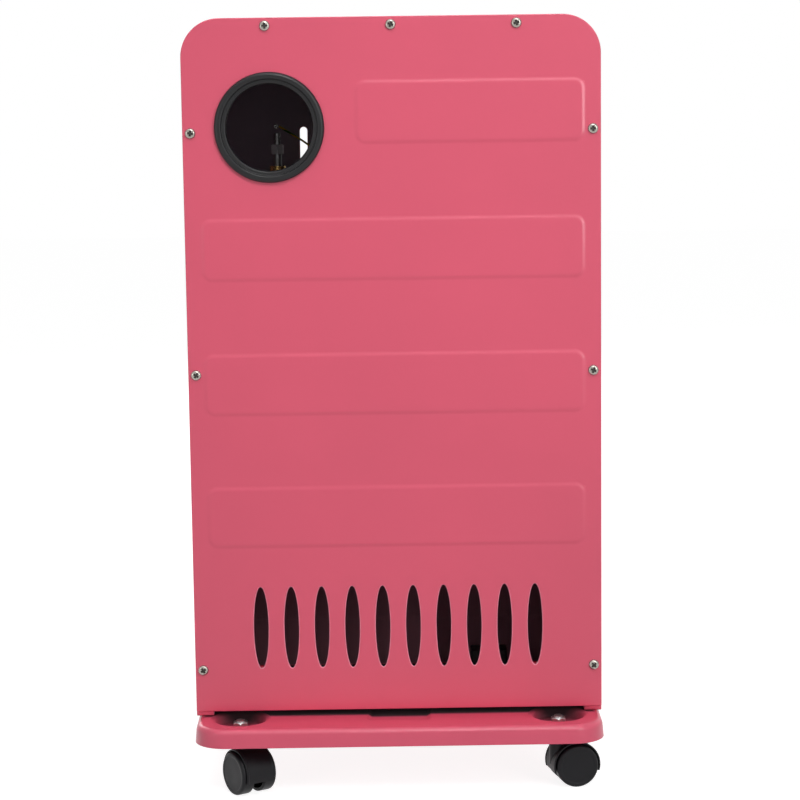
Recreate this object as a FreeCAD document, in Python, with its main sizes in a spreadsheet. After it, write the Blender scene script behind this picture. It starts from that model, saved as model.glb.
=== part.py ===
"""Mobile gas heater: a sheet-metal cabinet with a ceramic plaque burner, standing on a castor base.

Millimetres. +Z is up, the front faces -Y, and the origin is on the floor under the middle of the base.
"""
import FreeCAD, Part
import math
import os
import re
import Sketcher

Vector = FreeCAD.Vector

# Driving sizes, each a cell of the sheet.
SIZES = {
    # Cabinet
    "body_width": 380,
    "body_depth": 190,
    "panel_height": 642,
    "corner_radius": 35,
    "sheet": 1,
    "flange_width": 16,
    "panel_gap": 3,
    "front_gap": 0.5,
    "spacer_height": 2,
    "spacer_radius": 6.5,
    # Ribs pressed in the panels
    "rib_count": 4,
    "rib_height": 55.5,
    "rib_rise": 1.6,
    "rib_bevel": 4,
    "rib_corner": 9.5,
    "rib_side_inset": 14.5,
    "rib_top_drop": 57.8,
    "rib_bottom_lift": 156.5,
    "short_rib_length": 209,
    "front_rib_lift": 40,
    "front_rib_height": 150,
    # Lens-shaped vents of the back panel
    "vent_count": 10,
    "vent_width": 13.4,
    "vent_height": 77,
    "vent_side_inset": 62.2,
    "vent_lift": 41,
    # Hose grommet
    "hose_side_inset": 79,
    "hose_drop": 98.5,
    "grommet_bore": 39.5,
    "grommet_wall": 5.5,
    "grommet_lip": 5,
    "grommet_stand": 5,
    "grommet_tail": 7,
    "grommet_crest": 3,
    # Slots of the front panel
    "front_slot_count": 10,
    "front_slot_width": 7.2,
    "front_slot_height": 48.3,
    "front_slot_drop": 103.7,
    "front_slot_inset": 104.4,
    # Cabinet screws
    "screw_edge": 7.4,
    "top_screw_inset": 76.5,
    "side_screw_low": 40,
    "side_screw_middle": 318,
    "side_screw_drop": 103,
    "screw_head_radius": 4.75,
    "screw_head_height": 2.8,
    "screw_head_round": 2.1,
    "screw_radius": 1.9,
    "screw_length": 9,
    "screw_clearance": 0.15,
    "foot_screw_spread": 120,
    "foot_screw_inset": 12.4,
    # Base tray
    "ledge": 49,
    "base_height": 17.2,
    "base_corner": 30,
    "base_draft": 1.5,
    "base_edge": 6,
    "base_sheet": 1.2,
    "well_radius": 26,
    "well_draft": 4,
    "well_depth": 9.2,
    "notch_width": 60,
    "notch_reach": 22,
    "notch_depth": 2,
    "notch_draft": 5,
    "notch_corner": 6,
    # Castors
    "castor_inset": 41.5,
    "castor_trail": 14,
    "castor_half_width": 18,
    "wheel_radius": 20,
    "wheel_edge": 2.5,
    "wheel_rim": 3,
    "wheel_face": 2.4,
    "wheel_hub_radius": 5.5,
    "wheel_cap": 3,
    "wheel_gap": 0.4,
    "fender_gap": 1,
    "hood_wall": 1.6,
    "hood_web": 10.4,
    "hood_side": 3,
    "hood_lift": 14,
    "boss_radius": 11,
    "boss_rise": 4,
    "axle_radius": 2.5,
    "stem_radius": 4,
    "stem_depth": 16,
    "stem_end": 8,
    "collar_radius": 8,
    "collar_height": 9.6,
    "swivel_gap": 0.4,
    "running_clearance": 0.05,
    "seat_clearance": 0.02,
    "stem_nut_flat": 13,
    "stem_nut_height": 6.4,
    "rear_right_swivel": 33.5,
    "rear_left_swivel": 103,
    "front_right_swivel": 205,
    "front_left_swivel": 150,
    # Burner
    "window_margin": 31,
    "window_drop": 54,
    "window_corner": 12,
    "plaque_count": 3,
    "plaque_height": 132,
    "plaque_thick": 13,
    "plaque_gap": 6,
    "plaque_clearance": 0.3,
    "reflector_sheet": 0.8,
    "reflector_slope": 15,
    "reflector_depth": 33,
    "reflector_flange": 7,
    "tray_wall": 2,
    "tray_depth": 38,
    "tray_ledge": 6,
    "mixer_radius": 10,
    "mixer_throat": 7.5,
    "mixer_bell": 13,
    "mixer_wall": 1.2,
    "mixer_length": 92,
    "mixer_throat_start": 23,
    "mixer_throat_end": 37,
    "mixer_flare_end": 64,
    "injector_gap": 4,
    "injector_flat": 11,
    "injector_hex_height": 6,
    "injector_nozzle_radius": 3.2,
    "injector_nozzle_length": 7,
    "injector_stem_radius": 3,
    "injector_stem_length": 6,
    "manifold_radius": 6.5,
    "manifold_boss_radius": 6,
    "manifold_boss_rise": 4,
    "manifold_overhang": 25,
    "bracket_sheet": 1.5,
    "bracket_width": 20,
    "bracket_height": 24,
    "feed_radius": 4,
    "feed_bend": 14,
    "feed_wall_gap": 17,
    "shield_gap": 15,
    "shield_flange": 12,
    "shield_margin": 25,
    # Guard
    "guard_stand": 17,
    "guard_corner": 12,
    "guard_rod_radius": 2.5,
    "guard_wire_radius": 1.5,
    "guard_wire_count": 21,
    "guard_cross_spread": 60,
    "guard_leg_inset": 40,
    "guard_leg_tail": 4,
    "guard_clip_radius": 7,
    "guard_clip_height": 1.2,
    "guard_clip_gap": 1,
    "weld_gap": 0.05,
    # Gas control
    "control_drop": 27,
    "control_aside": 3,
    "valve_stand": 8,
    "valve_half_width": 20,
    "valve_half_height": 18,
    "valve_corner": 6,
    "valve_wall": 3,
    "valve_outlet_radius": 7,
    "valve_outlet_length": 6,
    "valve_bracket_half_width": 17,
    "valve_bracket_rise": 10,
    "spindle_radius": 4,
    "spindle_reach": 14,
    "spindle_depth": 16,
    "spindle_hole": 9,
    "push_travel": 4.5,
    "collar_ring_radius": 7,
    "collar_ring_length": 2,
    "knob_radius": 19,
    "knob_top_radius": 15.5,
    "knob_skirt": 3,
    "knob_draft": 1,
    "knob_length": 14,
    "knob_gap": 5.5,
    "knob_grip_width": 8,
    "knob_grip_height": 6,
    "knob_grip_inset": 1,
    "knob_grip_taper": 8,
    "bezel_radius": 24,
    "bezel_sheet": 1,
    "elbow_radius": 7.5,
    "elbow_bend": 12,
    "elbow_reach": 22,
    "inlet_shank_radius": 4,
    "inlet_shank_length": 10,
    "inlet_nut_flat": 13,
    "inlet_nut_height": 10,
    "inlet_drop": 19,
    "tail_radius": 3.4,
    "tail_groove": 0.5,
    "tail_groove_width": 1.4,
    "tail_length": 11,
    "tail_lands": 3,
    # Ignition and safety
    "igniter_pitch": 50,
    "igniter_flange_radius": 13,
    "igniter_flange": 2,
    "igniter_flange_bevel": 1,
    "igniter_radius": 10.5,
    "igniter_length": 55,
    "igniter_bore_depth": 22,
    "button_radius": 8.5,
    "button_bevel": 2,
    "button_stand": 8,
    "button_travel": 6.5,
    "pilot_offset": 45,
    "pilot_spread": 16,
    "pilot_plate_width": 52,
    "pilot_plate_drop": 7,
    "pilot_foot_height": 15,
    "pilot_front_gap": 14,
    "pilot_step": 6,
    "pilot_burner_radius": 4,
    "pilot_burner_length": 34,
    "pilot_shoulder": 20,
    "pilot_tip_radius": 2.8,
    "thermocouple_radius": 3,
    "thermocouple_length": 30,
    "thermocouple_shoulder": 15,
    "thermocouple_tip_radius": 1.8,
    "electrode_radius": 3,
    "electrode_length": 24,
    "electrode_wire_radius": 0.9,
    "electrode_wire_length": 12,
    "lead_radius": 1.5,
    "lead_bend": 10,
    "lead_wall_gap": 12,
    "lead_top_drop": 12,
    "lead_bottom_drop": 14,
    "earth_radius": 1,
    "earth_aside": 1.8,
    "earth_drop": 4.5,
    "earth_screw_radius": 2.5,
    "earth_screw_height": 2.5,
    "tilt_width": 38,
    "tilt_depth": 28,
    "tilt_height": 30,
    "tilt_corner": 4,
    "tilt_foot": 9,
    "tilt_foot_height": 2,
    "tilt_taper": 3,
    "tilt_offset": 90,
}

# Heights, depths and spans that follow from the driving sizes.
LEVELS = {
    "fender_inner": "wheel_radius + fender_gap",
    "fender_outer": "fender_inner + hood_wall",
    "boss_top": "wheel_radius + fender_outer + boss_rise",
    "collar_bottom": "boss_top + swivel_gap",
    "well_under": "collar_bottom + collar_height",
    "well_floor": "well_under + base_sheet",
    "base_top": "well_floor + well_depth",
    "base_bottom": "base_top - base_height",
    "casing_bottom": "base_top + spacer_height",
    "panel_bottom": "casing_bottom + panel_gap",
    "front_bottom": "base_top + front_gap",
    "panel_top": "panel_bottom + panel_height",
    "half_width": "body_width / 2",
    "base_half_depth": "body_depth / 2 + ledge",
    "castor_x": "half_width - castor_inset",
    "castor_y": "base_half_depth - castor_inset",
    "back_face": "body_depth / 2",
    "back_inner": "back_face - sheet",
    "front_face": "-body_depth / 2",
    "front_inner": "front_face + sheet",
    "foot_x": "half_width - foot_screw_inset",
    "foot_y": "foot_screw_spread / 2",
    "hose_x": "half_width - hose_side_inset",
    "hose_z": "panel_top - hose_drop",
    "grommet_seat": "grommet_bore + grommet_wall",
    "screw_bore": "screw_radius + screw_clearance",
    "rib_half": "half_width - rib_side_inset",
    "rib_pitch": "(panel_height - rib_top_drop - rib_bottom_lift - rib_height) / (rib_count - 1)",
    "slot_top": "panel_top - front_slot_drop",
    "slot_bottom": "slot_top - front_slot_height",
    "control_x": "hose_x - control_aside",
    "control_z": "slot_bottom - control_drop",
    "window_half": "half_width - window_margin",
    "window_height": "plaque_height + 2 * reflector_slope",
    "window_top": "control_z - window_drop",
    "window_bottom": "window_top - window_height",
    "window_mid": "window_top - window_height / 2",
    "throat_half": "window_half - reflector_slope",
    "plaque_width": "(2 * throat_half - (plaque_count - 1) * plaque_gap) / plaque_count",
    "plaque_pitch": "plaque_width + plaque_gap",
    "plaque_face": "front_inner + reflector_depth",
    "tray_bottom": "window_mid - plaque_height / 2 - tray_wall",
    "tray_back": "plaque_face + tray_depth",
    "pipe_y": "plaque_face + (plaque_thick + tray_depth) / 2",
    "mixer_bottom": "tray_bottom - mixer_length",
    "injector_seat": "mixer_bottom - injector_gap - injector_nozzle_length - injector_hex_height",
    "manifold_z": "injector_seat - manifold_boss_rise - manifold_radius",
    "manifold_half": "plaque_pitch * (plaque_count - 1) / 2 + manifold_overhang",
    "feed_x": "half_width - sheet - feed_wall_gap - feed_radius",
    "shield_y": "tray_back + shield_gap",
    "guard_y": "front_face - guard_stand",
    "guard_margin": "reflector_flange + guard_clip_radius + guard_clip_gap",
    "guard_half": "window_half + guard_margin",
    "guard_rise": "window_height / 2 + guard_margin",
    "guard_leg_x": "guard_half - guard_leg_inset",
    "guard_wire_y": "guard_y - guard_rod_radius - guard_wire_radius - weld_gap",
    "valve_front": "front_inner + valve_stand",
    "valve_back": "pipe_y + valve_outlet_radius + valve_wall",
    "knob_back": "front_face - bezel_sheet - knob_gap",
    "inlet_y": "valve_back + elbow_reach",
    "inlet_nut_top": "hose_z - inlet_drop",
    "inlet_nut_bottom": "inlet_nut_top - inlet_nut_height",
    "elbow_top": "inlet_nut_bottom - inlet_shank_length",
    "igniter_x": "control_x - igniter_pitch",
    "pilot_z": "window_bottom - pilot_plate_drop",
    "pilot_y": "front_inner + pilot_front_gap",
    "lead_x": "half_width - sheet - lead_wall_gap",
    "lead_top": "control_z - valve_half_height - lead_top_drop",
    "lead_bottom": "pilot_z - lead_bottom_drop",
}

# The earth wire's way from its screw to the spark generator: share of the way across, depth behind the
# front panel and share of the way down.
EARTH_ROUTE = ((0.22, 10, 0.10), (0.66, 23, 0.30), (0.92, 28, 0.58), (1.0, 22, 0.84), (1.0, 22, 1.0))

# Share of a wire's shorter run that a bend takes up.
BEND_SHARE = 0.45

# Points nearer than this are the same point.
SAME_POINT = 1e-6

doc = FreeCAD.newDocument("gas_heater")
nodes = {}


def make_sheet():
    """Put every driving size in a named cell."""
    sheet = doc.addObject("Spreadsheet::Sheet", "dims")
    for row, (name, size) in enumerate(SIZES.items(), start=1):
        sheet.set(f"A{row}", name)
        sheet.set(f"B{row}", str(size))
        sheet.setAlias(f"B{row}", name)
    doc.recompute()
    return sheet


def bound(expression):
    """Write an expression over the cells, with each level replaced by its own formula."""
    def cell(match):
        name = match.group(0)
        if name in LEVELS:
            return f"({bound(LEVELS[name])})"
        return f"dims.{name}" if name in SIZES else name
    return re.sub(r"[A-Za-z_]\w*", cell, str(expression))


def number(expression):
    """Work out an expression now, as a plain number."""
    result = dims.evalExpression(bound(expression))
    return float(getattr(result, "Value", result))


def minus(expression):
    return f"-({expression})"


def bind(thing, **properties):
    """Tie properties of an object to expressions."""
    for name, expression in properties.items():
        thing.setExpression(name, bound(expression))


def place(thing, at=("0", "0", "0"), along="Z", turn=None):
    """Tie an object's place to expressions, and lay its own Z axis along another axis."""
    quarter_turns = {"Z": ((0, 0, 1), 0), "-Z": ((1, 0, 0), 180), "X": ((0, 1, 0), 90),
                     "Y": ((1, 0, 0), -90), "-Y": ((1, 0, 0), 90)}
    axis, angle = quarter_turns[along]
    thing.Placement = FreeCAD.Placement(Vector(), FreeCAD.Rotation(Vector(*axis), angle))
    for letter, expression in zip("xyz", at):
        thing.setExpression(f"Placement.Base.{letter}", bound(expression))
    if turn is not None:
        thing.setExpression("Placement.Rotation.Angle", bound(turn))
    return thing


def node(label, thing):
    """Name a finished sub-part, which is written to a file of that name."""
    thing.Label = label
    nodes[label] = thing
    return thing


# Sketches


def new_body(name):
    return doc.addObject("PartDesign::Body", name)


def sketch_on(body, name, plane, offset="0"):
    """Start a sketch on one of the body's own planes, moved along the plane's normal."""
    sketch = body.newObject("Sketcher::SketchObject", name)
    support = next(feature for feature in body.Origin.OriginFeatures if feature.Role == plane)
    sketch.AttachmentSupport = [(support, "")]
    sketch.MapMode = "FlatFace"
    sketch.setExpression("AttachmentOffset.Base.z", bound(offset))
    return sketch


def fix_point(sketch, geometry, point, x, y):
    """Hold a point of a sketch at two expressions."""
    for kind, axis, expression in (("DistanceX", -2, x), ("DistanceY", -1, y)):
        if expression == "0":
            sketch.addConstraint(Sketcher.Constraint("PointOnObject", geometry, point, axis))
            continue
        value = number(expression)
        index = sketch.addConstraint(Sketcher.Constraint(kind, -1, 1, geometry, point, value))
        sketch.setExpression(f"Constraints[{index}]", bound(expression))


def fix_radius(sketch, geometry, radius):
    index = sketch.addConstraint(Sketcher.Constraint("Radius", geometry, number(radius)))
    sketch.setExpression(f"Constraints[{index}]", bound(radius))


def circle(sketch, x, y, radius):
    centre = Vector(number(x), number(y), 0)
    geometry = sketch.addGeometry(Part.Circle(centre, Vector(0, 0, 1), number(radius)), False)
    fix_point(sketch, geometry, 3, x, y)
    fix_radius(sketch, geometry, radius)


def ellipse(sketch, x, y, half_width, half_height):
    """An upright ellipse, held by the ends of its long axis and one end of its short axis."""
    centre = Vector(number(x), number(y), 0)
    top = centre + Vector(0, number(half_height), 0)
    side = centre + Vector(number(half_width), 0, 0)
    geometry = sketch.addGeometry(Part.Ellipse(top, side, centre), False)
    sketch.exposeInternalGeometry(geometry)
    long_axis = geometry + 1
    fix_point(sketch, geometry, 3, x, y)
    fix_point(sketch, long_axis, 1, x, f"{y} + {half_height}")
    short_axis = geometry + 2
    end = 1 if sketch.getPoint(short_axis, 1).x > centre.x else 2
    index = sketch.addConstraint(
        Sketcher.Constraint("DistanceX", -1, 1, short_axis, end, number(f"{x} + {half_width}")))
    sketch.setExpression(f"Constraints[{index}]", bound(f"{x} + {half_width}"))


def corner_points(corners):
    """Split each rounded right-angled corner into its two tangent points.

    Gives a list of (x, y, radius), where a radius says that an arc runs from that point to the next.
    """
    spots = [Vector(number(corner[0]), number(corner[1]), 0) for corner in corners]
    points = []
    for index, corner in enumerate(corners):
        if len(corner) == 2:
            points.append((corner[0], corner[1], None))
            continue
        x, y, radius = corner
        before = (spots[index] - spots[index - 1]).normalize()
        after = (spots[(index + 1) % len(spots)] - spots[index]).normalize()
        for way, arc in ((-before, radius), (after, None)):
            across, up = round(way.x), round(way.y)
            points.append((f"{x} + ({across}) * ({radius})", f"{y} + ({up}) * ({radius})", arc))
    return points


def add_arc(sketch, start, end, corner, radius):
    """Add the quarter arc between two tangent points, and say whether it runs anticlockwise."""
    centre = start + end - corner
    first = math.atan2(start.y - centre.y, start.x - centre.x)
    last = math.atan2(end.y - centre.y, end.x - centre.x)
    forward = math.sin(last - first) > 0
    span = (first, last) if forward else (last, first)
    ring = Part.Circle(centre, Vector(0, 0, 1), radius)
    geometry = sketch.addGeometry(Part.ArcOfCircle(ring, *span), False)
    return geometry, forward


def arc_corner(corners, start, end):
    """The sharp corner that an arc replaces: level with one of its ends and plumb with the other."""
    sharp = [Vector(number(corner[0]), number(corner[1]), 0) for corner in corners]
    for spot in (Vector(start.x, end.y, 0), Vector(end.x, start.y, 0)):
        if any(spot.isEqual(corner, SAME_POINT) for corner in sharp):
            return spot
    raise ValueError("no corner for this arc")


def outline(sketch, corners, closed=True):
    """Draw straight runs through the corners, each (x, y), or (x, y, radius) for a rounded right angle."""
    points = corner_points(corners)
    spots = [Vector(number(x), number(y), 0) for x, y, radius in points]
    count = len(points)
    pieces = []
    for index in range(count if closed else count - 1):
        start, end = spots[index], spots[(index + 1) % count]
        x, y, radius = points[index]
        if radius is not None:
            geometry, forward = add_arc(sketch, start, end, arc_corner(corners, start, end), number(radius))
            fix_radius(sketch, geometry, radius)
            ends = (1, 2) if forward else (2, 1)
        elif (end - start).Length < SAME_POINT:
            continue
        else:
            geometry = sketch.addGeometry(Part.LineSegment(start, end), False)
            ends = (1, 2)
        fix_point(sketch, geometry, ends[0], x, y)
        pieces.append((geometry, ends))
    joints = zip(pieces, pieces[1:] + pieces[:1]) if closed else zip(pieces, pieces[1:])
    for (geometry, ends), (after, after_ends) in joints:
        sketch.addConstraint(Sketcher.Constraint("Coincident", geometry, ends[1], after, after_ends[0]))
    if not closed:
        geometry, ends = pieces[-1]
        fix_point(sketch, geometry, ends[1], points[-1][0], points[-1][1])
    return pieces


def rectangle(sketch, left, right, low, high, radius=None):
    """A rectangle, with rounded corners where a radius is given."""
    rounding = () if radius is None else (radius,)
    outline(sketch, [(left, low) + rounding, (right, low) + rounding,
                     (right, high) + rounding, (left, high) + rounding])


# Features


def pad(body, sketch, length, reverse=False, taper=None):
    """Raise a sketch along its normal, or against it; a taper draws the sides in."""
    feature = body.newObject("PartDesign::Pad", f"{sketch.Name}_pad")
    feature.Profile = sketch
    feature.Reversed = reverse
    bind(feature, Length=length)
    if taper is not None:
        bind(feature, TaperAngle=minus(taper))
    sketch.Visibility = False
    return feature


def pocket(body, sketch, length=None, reverse=False, taper=None):
    """Cut a sketch against its normal, or along it; with no length it cuts through both ways."""
    feature = body.newObject("PartDesign::Pocket", f"{sketch.Name}_pocket")
    feature.Profile = sketch
    feature.Reversed = reverse
    if length is None:
        feature.Type = "ThroughAll"
        feature.Midplane = True
    else:
        bind(feature, Length=length)
    if taper is not None:
        bind(feature, TaperAngle=minus(taper))
    return feature


def row_of(body, feature, sketch, count, length):
    """Repeat a feature in a row along the sketch's horizontal axis."""
    pattern = body.newObject("PartDesign::LinearPattern", f"{feature.Name}_row")
    pattern.Originals = [feature]
    pattern.Direction = (sketch, ["H_Axis"])
    bind(pattern, Length=length, Occurrences=count)
    body.Tip = pattern
    return pattern


def turned(body, sketch, axis):
    """Revolve a sketch about its own horizontal or vertical axis."""
    feature = body.newObject("PartDesign::Revolution", f"{sketch.Name}_turned")
    feature.Profile = sketch
    feature.ReferenceAxis = (sketch, [axis])
    feature.Angle = 360
    return feature


def turned_body(name, plane, axis, corners):
    """A body of revolution from one closed profile."""
    body = new_body(name)
    sketch = sketch_on(body, f"{name}_profile", plane)
    outline(sketch, corners)
    turned(body, sketch, axis)
    return body


def ring_body(name, bore, radius, height):
    """A flat ring standing on zero height."""
    return turned_body(name, "XZ_Plane", "V_Axis", [
        (bore, "0"), (radius, "0"), (radius, height), (bore, height)])


def bent_rod(name, plane, offset, corners, radius, profile_plane, profile_offset, profile_spot, closed=False):
    """A round rod carried along a path of straight runs and right-angled bends in one plane."""
    body = new_body(name)
    path = sketch_on(body, f"{name}_path", plane, offset)
    pieces = outline(path, corners, closed)
    profile = sketch_on(body, f"{name}_section", profile_plane, profile_offset)
    circle(profile, *profile_spot, radius)
    rod = body.newObject("PartDesign::AdditivePipe", f"{name}_rod")
    rod.Profile = profile
    rod.Spine = (path, [f"Edge{index}" for index in range(1, len(pieces) + 1)])
    return body


def cylinder(name, radius, length, at, along="Z"):
    thing = doc.addObject("Part::Cylinder", name)
    bind(thing, Radius=radius, Height=length)
    return place(thing, at, along)


def hexagon(name, flat, length, at):
    """An upright hexagonal bar, sized across its flats."""
    thing = doc.addObject("Part::Prism", name)
    thing.Polygon = 6
    bind(thing, Circumradius=f"({flat}) / sqrt(3)", Height=length)
    return place(thing, at)


def box(name, sizes, at):
    thing = doc.addObject("Part::Box", name)
    bind(thing, Length=sizes[0], Width=sizes[1], Height=sizes[2])
    return place(thing, at)


def cut(name, base, tool):
    thing = doc.addObject("Part::Cut", name)
    thing.Base = base
    thing.Tool = tool
    return thing


def fuse(name, *things):
    thing = doc.addObject("Part::MultiFuse", name)
    thing.Shapes = list(things)
    thing.Refine = True
    return thing


def copy_of(master, name, at, along="Z", turn=None):
    """A placed copy of a master piece."""
    link = doc.addObject("App::Link", name)
    link.LinkedObject = master
    link.LinkTransform = True
    return place(link, at, along, turn)


def copies(label, master, spots, along="Z"):
    """One node of separate, identical solids, each a placed copy of the master."""
    group = doc.addObject("Part::Compound", f"{label}_group")
    group.Links = [copy_of(master, f"{label}_{index}", spot, along)
                   for index, spot in enumerate(spots, start=1)]
    return node(label, group)


def signed(expression, sign):
    return expression if sign > 0 else minus(expression)


# Cabinet


def arch(sketch, inset, bottom):
    """The cabinet's upright outline with rounded top corners, drawn in by an inset."""
    side = f"half_width - ({inset})"
    top = f"panel_top - ({inset})"
    radius = f"corner_radius - ({inset})"
    outline(sketch, [(minus(side), bottom), (side, bottom), (side, top, radius), (minus(side), top, radius)])


def panel_screw_spots():
    """The nine screws along the top and sides of each panel, as (x, z)."""
    top = "panel_top - screw_edge"
    spots = [("0", top)]
    for sign in (1, -1):
        spots.append((signed("half_width - top_screw_inset", sign), top))
        for height in ("panel_bottom + side_screw_low", "panel_bottom + side_screw_middle",
                       "panel_top - side_screw_drop"):
            spots.append((signed("half_width - screw_edge", sign), height))
    return spots


def foot_spots():
    return [(signed("foot_x", a), signed("foot_y", b)) for a in (1, -1) for b in (1, -1)]


def make_casing():
    """Two sides and the top bent from one sheet, with flanges turned in behind both panels."""
    body = new_body("casing")
    outer = sketch_on(body, "casing_outline", "XZ_Plane", minus("back_inner"))
    arch(outer, "0", "casing_bottom")
    pad(body, outer, "body_depth - 2 * sheet")
    hollow = sketch_on(body, "casing_hollow", "XZ_Plane", minus("back_inner - sheet"))
    arch(hollow, "sheet", "casing_bottom + sheet")
    pocket(body, hollow, "body_depth - 4 * sheet", reverse=True)
    mouth = sketch_on(body, "casing_mouth", "XZ_Plane")
    arch(mouth, "flange_width", "casing_bottom - sheet")
    pocket(body, mouth)
    holes = sketch_on(body, "casing_holes", "XZ_Plane")
    for x, z in panel_screw_spots():
        circle(holes, x, z, "screw_bore")
    pocket(body, holes)
    feet = sketch_on(body, "casing_feet", "XY_Plane", "casing_bottom")
    for x, y in foot_spots():
        circle(feet, x, y, "screw_bore")
    pocket(body, feet, "sheet", reverse=True)
    node("casing_wrapper", body)


def press_ribs(body, name, face, inner, outward, spans):
    """Press rectangles out of a panel: raised outside, hollow inside, with sloping edges all round."""
    slope = "atan(rib_bevel / rib_rise)"
    lead_in = "sheet * tan(atan(rib_rise / rib_bevel) / 2)"
    raised = sketch_on(body, f"{name}_raised", "XZ_Plane", minus(face))
    hollow = sketch_on(body, f"{name}_hollow", "XZ_Plane", minus(inner))
    for left, right, low, high in spans:
        rectangle(raised, left, right, low, high, "rib_corner")
        rectangle(hollow, f"{left} + {lead_in}", f"{right} - {lead_in}", f"{low} + {lead_in}",
                  f"{high} - {lead_in}", f"rib_corner - {lead_in}")
    pad(body, raised, "rib_rise", reverse=outward > 0, taper=slope)
    pocket(body, hollow, "rib_rise", reverse=outward < 0, taper=slope)


def make_back_panel():
    """Flat sheet with four pressed ribs, the hose hole and a row of lens-shaped vents."""
    body = new_body("back")
    plate = sketch_on(body, "back_outline", "XZ_Plane", minus("back_face"))
    arch(plate, "0", "panel_bottom")
    pad(body, plate, "sheet")
    spans = []
    for index in range(int(number("rib_count"))):
        top = f"panel_top - rib_top_drop - {index} * rib_pitch"
        right = minus("rib_half - short_rib_length") if index == 0 else "rib_half"
        spans.append((minus("rib_half"), right, f"{top} - rib_height", top))
    press_ribs(body, "back_ribs", "back_face", "back_inner", 1, spans)
    holes = sketch_on(body, "back_holes", "XZ_Plane")
    circle(holes, "hose_x", "hose_z", "grommet_seat + seat_clearance")
    for x, z in panel_screw_spots():
        circle(holes, x, z, "screw_bore")
    pocket(body, holes)
    vent = sketch_on(body, "back_vent", "XZ_Plane")
    ellipse(vent, minus("half_width - vent_side_inset"), "panel_bottom + vent_lift + vent_height / 2",
            "vent_width / 2", "vent_height / 2")
    row_of(body, pocket(body, vent), vent, "vent_count", "body_width - 2 * vent_side_inset")
    node("back_panel", body)


def make_front_panel():
    """Flat sheet with the burner window, warm-air slots, control holes and one pressed rectangle."""
    body = new_body("front")
    plate = sketch_on(body, "front_outline", "XZ_Plane", minus("front_face"))
    arch(plate, "0", "front_bottom")
    pad(body, plate, "sheet", reverse=True)
    low = "panel_bottom + front_rib_lift"
    press_ribs(body, "front_rib", "front_face", "front_inner", -1,
               [(minus("rib_half"), "rib_half", low, f"{low} + front_rib_height")])
    window = sketch_on(body, "front_window", "XZ_Plane")
    rectangle(window, minus("window_half"), "window_half", "window_bottom", "window_top", "window_corner")
    pocket(body, window)
    holes = sketch_on(body, "front_holes", "XZ_Plane")
    circle(holes, "control_x", "control_z", "spindle_hole")
    circle(holes, "igniter_x", "control_z", "igniter_radius + seat_clearance")
    for x, z in panel_screw_spots():
        circle(holes, x, z, "screw_bore")
    for x, z in guard_leg_spots():
        circle(holes, x, z, "guard_rod_radius + running_clearance")
    pocket(body, holes)
    slot = sketch_on(body, "front_slot", "XZ_Plane")
    left = minus("half_width - front_slot_inset + front_slot_width / 2")
    rectangle(slot, left, f"{left} + front_slot_width", "slot_bottom", "slot_top", "front_slot_width / 2")
    row_of(body, pocket(body, slot), slot, "front_slot_count", "body_width - 2 * front_slot_inset")
    node("front_panel", body)


def make_grommet():
    """Moulded ring that grips the edge of the hose hole, with a rounded crest outside."""
    outer = "grommet_seat + grommet_lip"
    crest = "back_face + grommet_stand"
    half = "grommet_crest / 2"
    body = turned_body("grommet", "XY_Plane", "V_Axis", [
        ("grommet_bore", "back_inner - grommet_tail"),
        ("grommet_seat + grommet_lip / 2", "back_inner - grommet_tail"),
        ("grommet_seat + grommet_lip / 2", "back_inner"),
        ("grommet_seat", "back_inner"),
        ("grommet_seat", "back_face"),
        (outer, "back_face"),
        (outer, crest, "grommet_crest"),
        ("grommet_seat - grommet_crest / 2", crest, half),
        ("grommet_seat - grommet_crest / 2", f"{crest} - grommet_crest"),
        ("grommet_bore", f"{crest} - grommet_crest", half),
    ])
    node("hose_grommet", place(body, ("hose_x", "0", "hose_z")))


def make_screw():
    """Pan-head screw standing on its thread, with the underside of its head at zero height."""
    return turned_body("screw", "XZ_Plane", "V_Axis", [
        ("0", minus("screw_length")),
        ("screw_radius", minus("screw_length")),
        ("screw_radius", "0"),
        ("screw_head_radius", "0"),
        ("screw_head_radius", "screw_head_height", "screw_head_round"),
        ("0", "screw_head_height"),
    ])


def make_cabinet_screws():
    screw = make_screw()
    spots = panel_screw_spots()
    copies("back_panel_screws", screw, [(x, "back_face", z) for x, z in spots], along="Y")
    copies("front_panel_screws", screw, [(x, "front_face", z) for x, z in spots], along="-Y")
    copies("casing_screws", screw, [(x, y, "base_top - base_sheet") for x, y in foot_spots()], along="-Z")
    ring = ring_body("spacer", "screw_bore", "spacer_radius", "spacer_height")
    copies("casing_spacers", ring, [(x, y, "base_top") for x, y in foot_spots()])


# Base and castors


def castor_spots():
    """Name and place of each castor, as (name, x, y)."""
    for side, across in (("right", 1), ("left", -1)):
        for end, along in (("rear", 1), ("front", -1)):
            yield f"{end}_{side}", signed("castor_x", across), signed("castor_y", along)


def round_rim(body, name, level, radius):
    """Round every edge of a body so far that lies flat at one level."""
    doc.recompute()
    height = number(level)
    latest = body.Tip
    rim = [f"Edge{index}" for index, edge in enumerate(latest.Shape.Edges, start=1)
           if all(abs(vertex.Z - height) < SAME_POINT for vertex in edge.Vertexes)]
    edge = body.newObject("PartDesign::Fillet", name)
    edge.Base = (latest, rim)
    bind(edge, Radius=radius)


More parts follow.
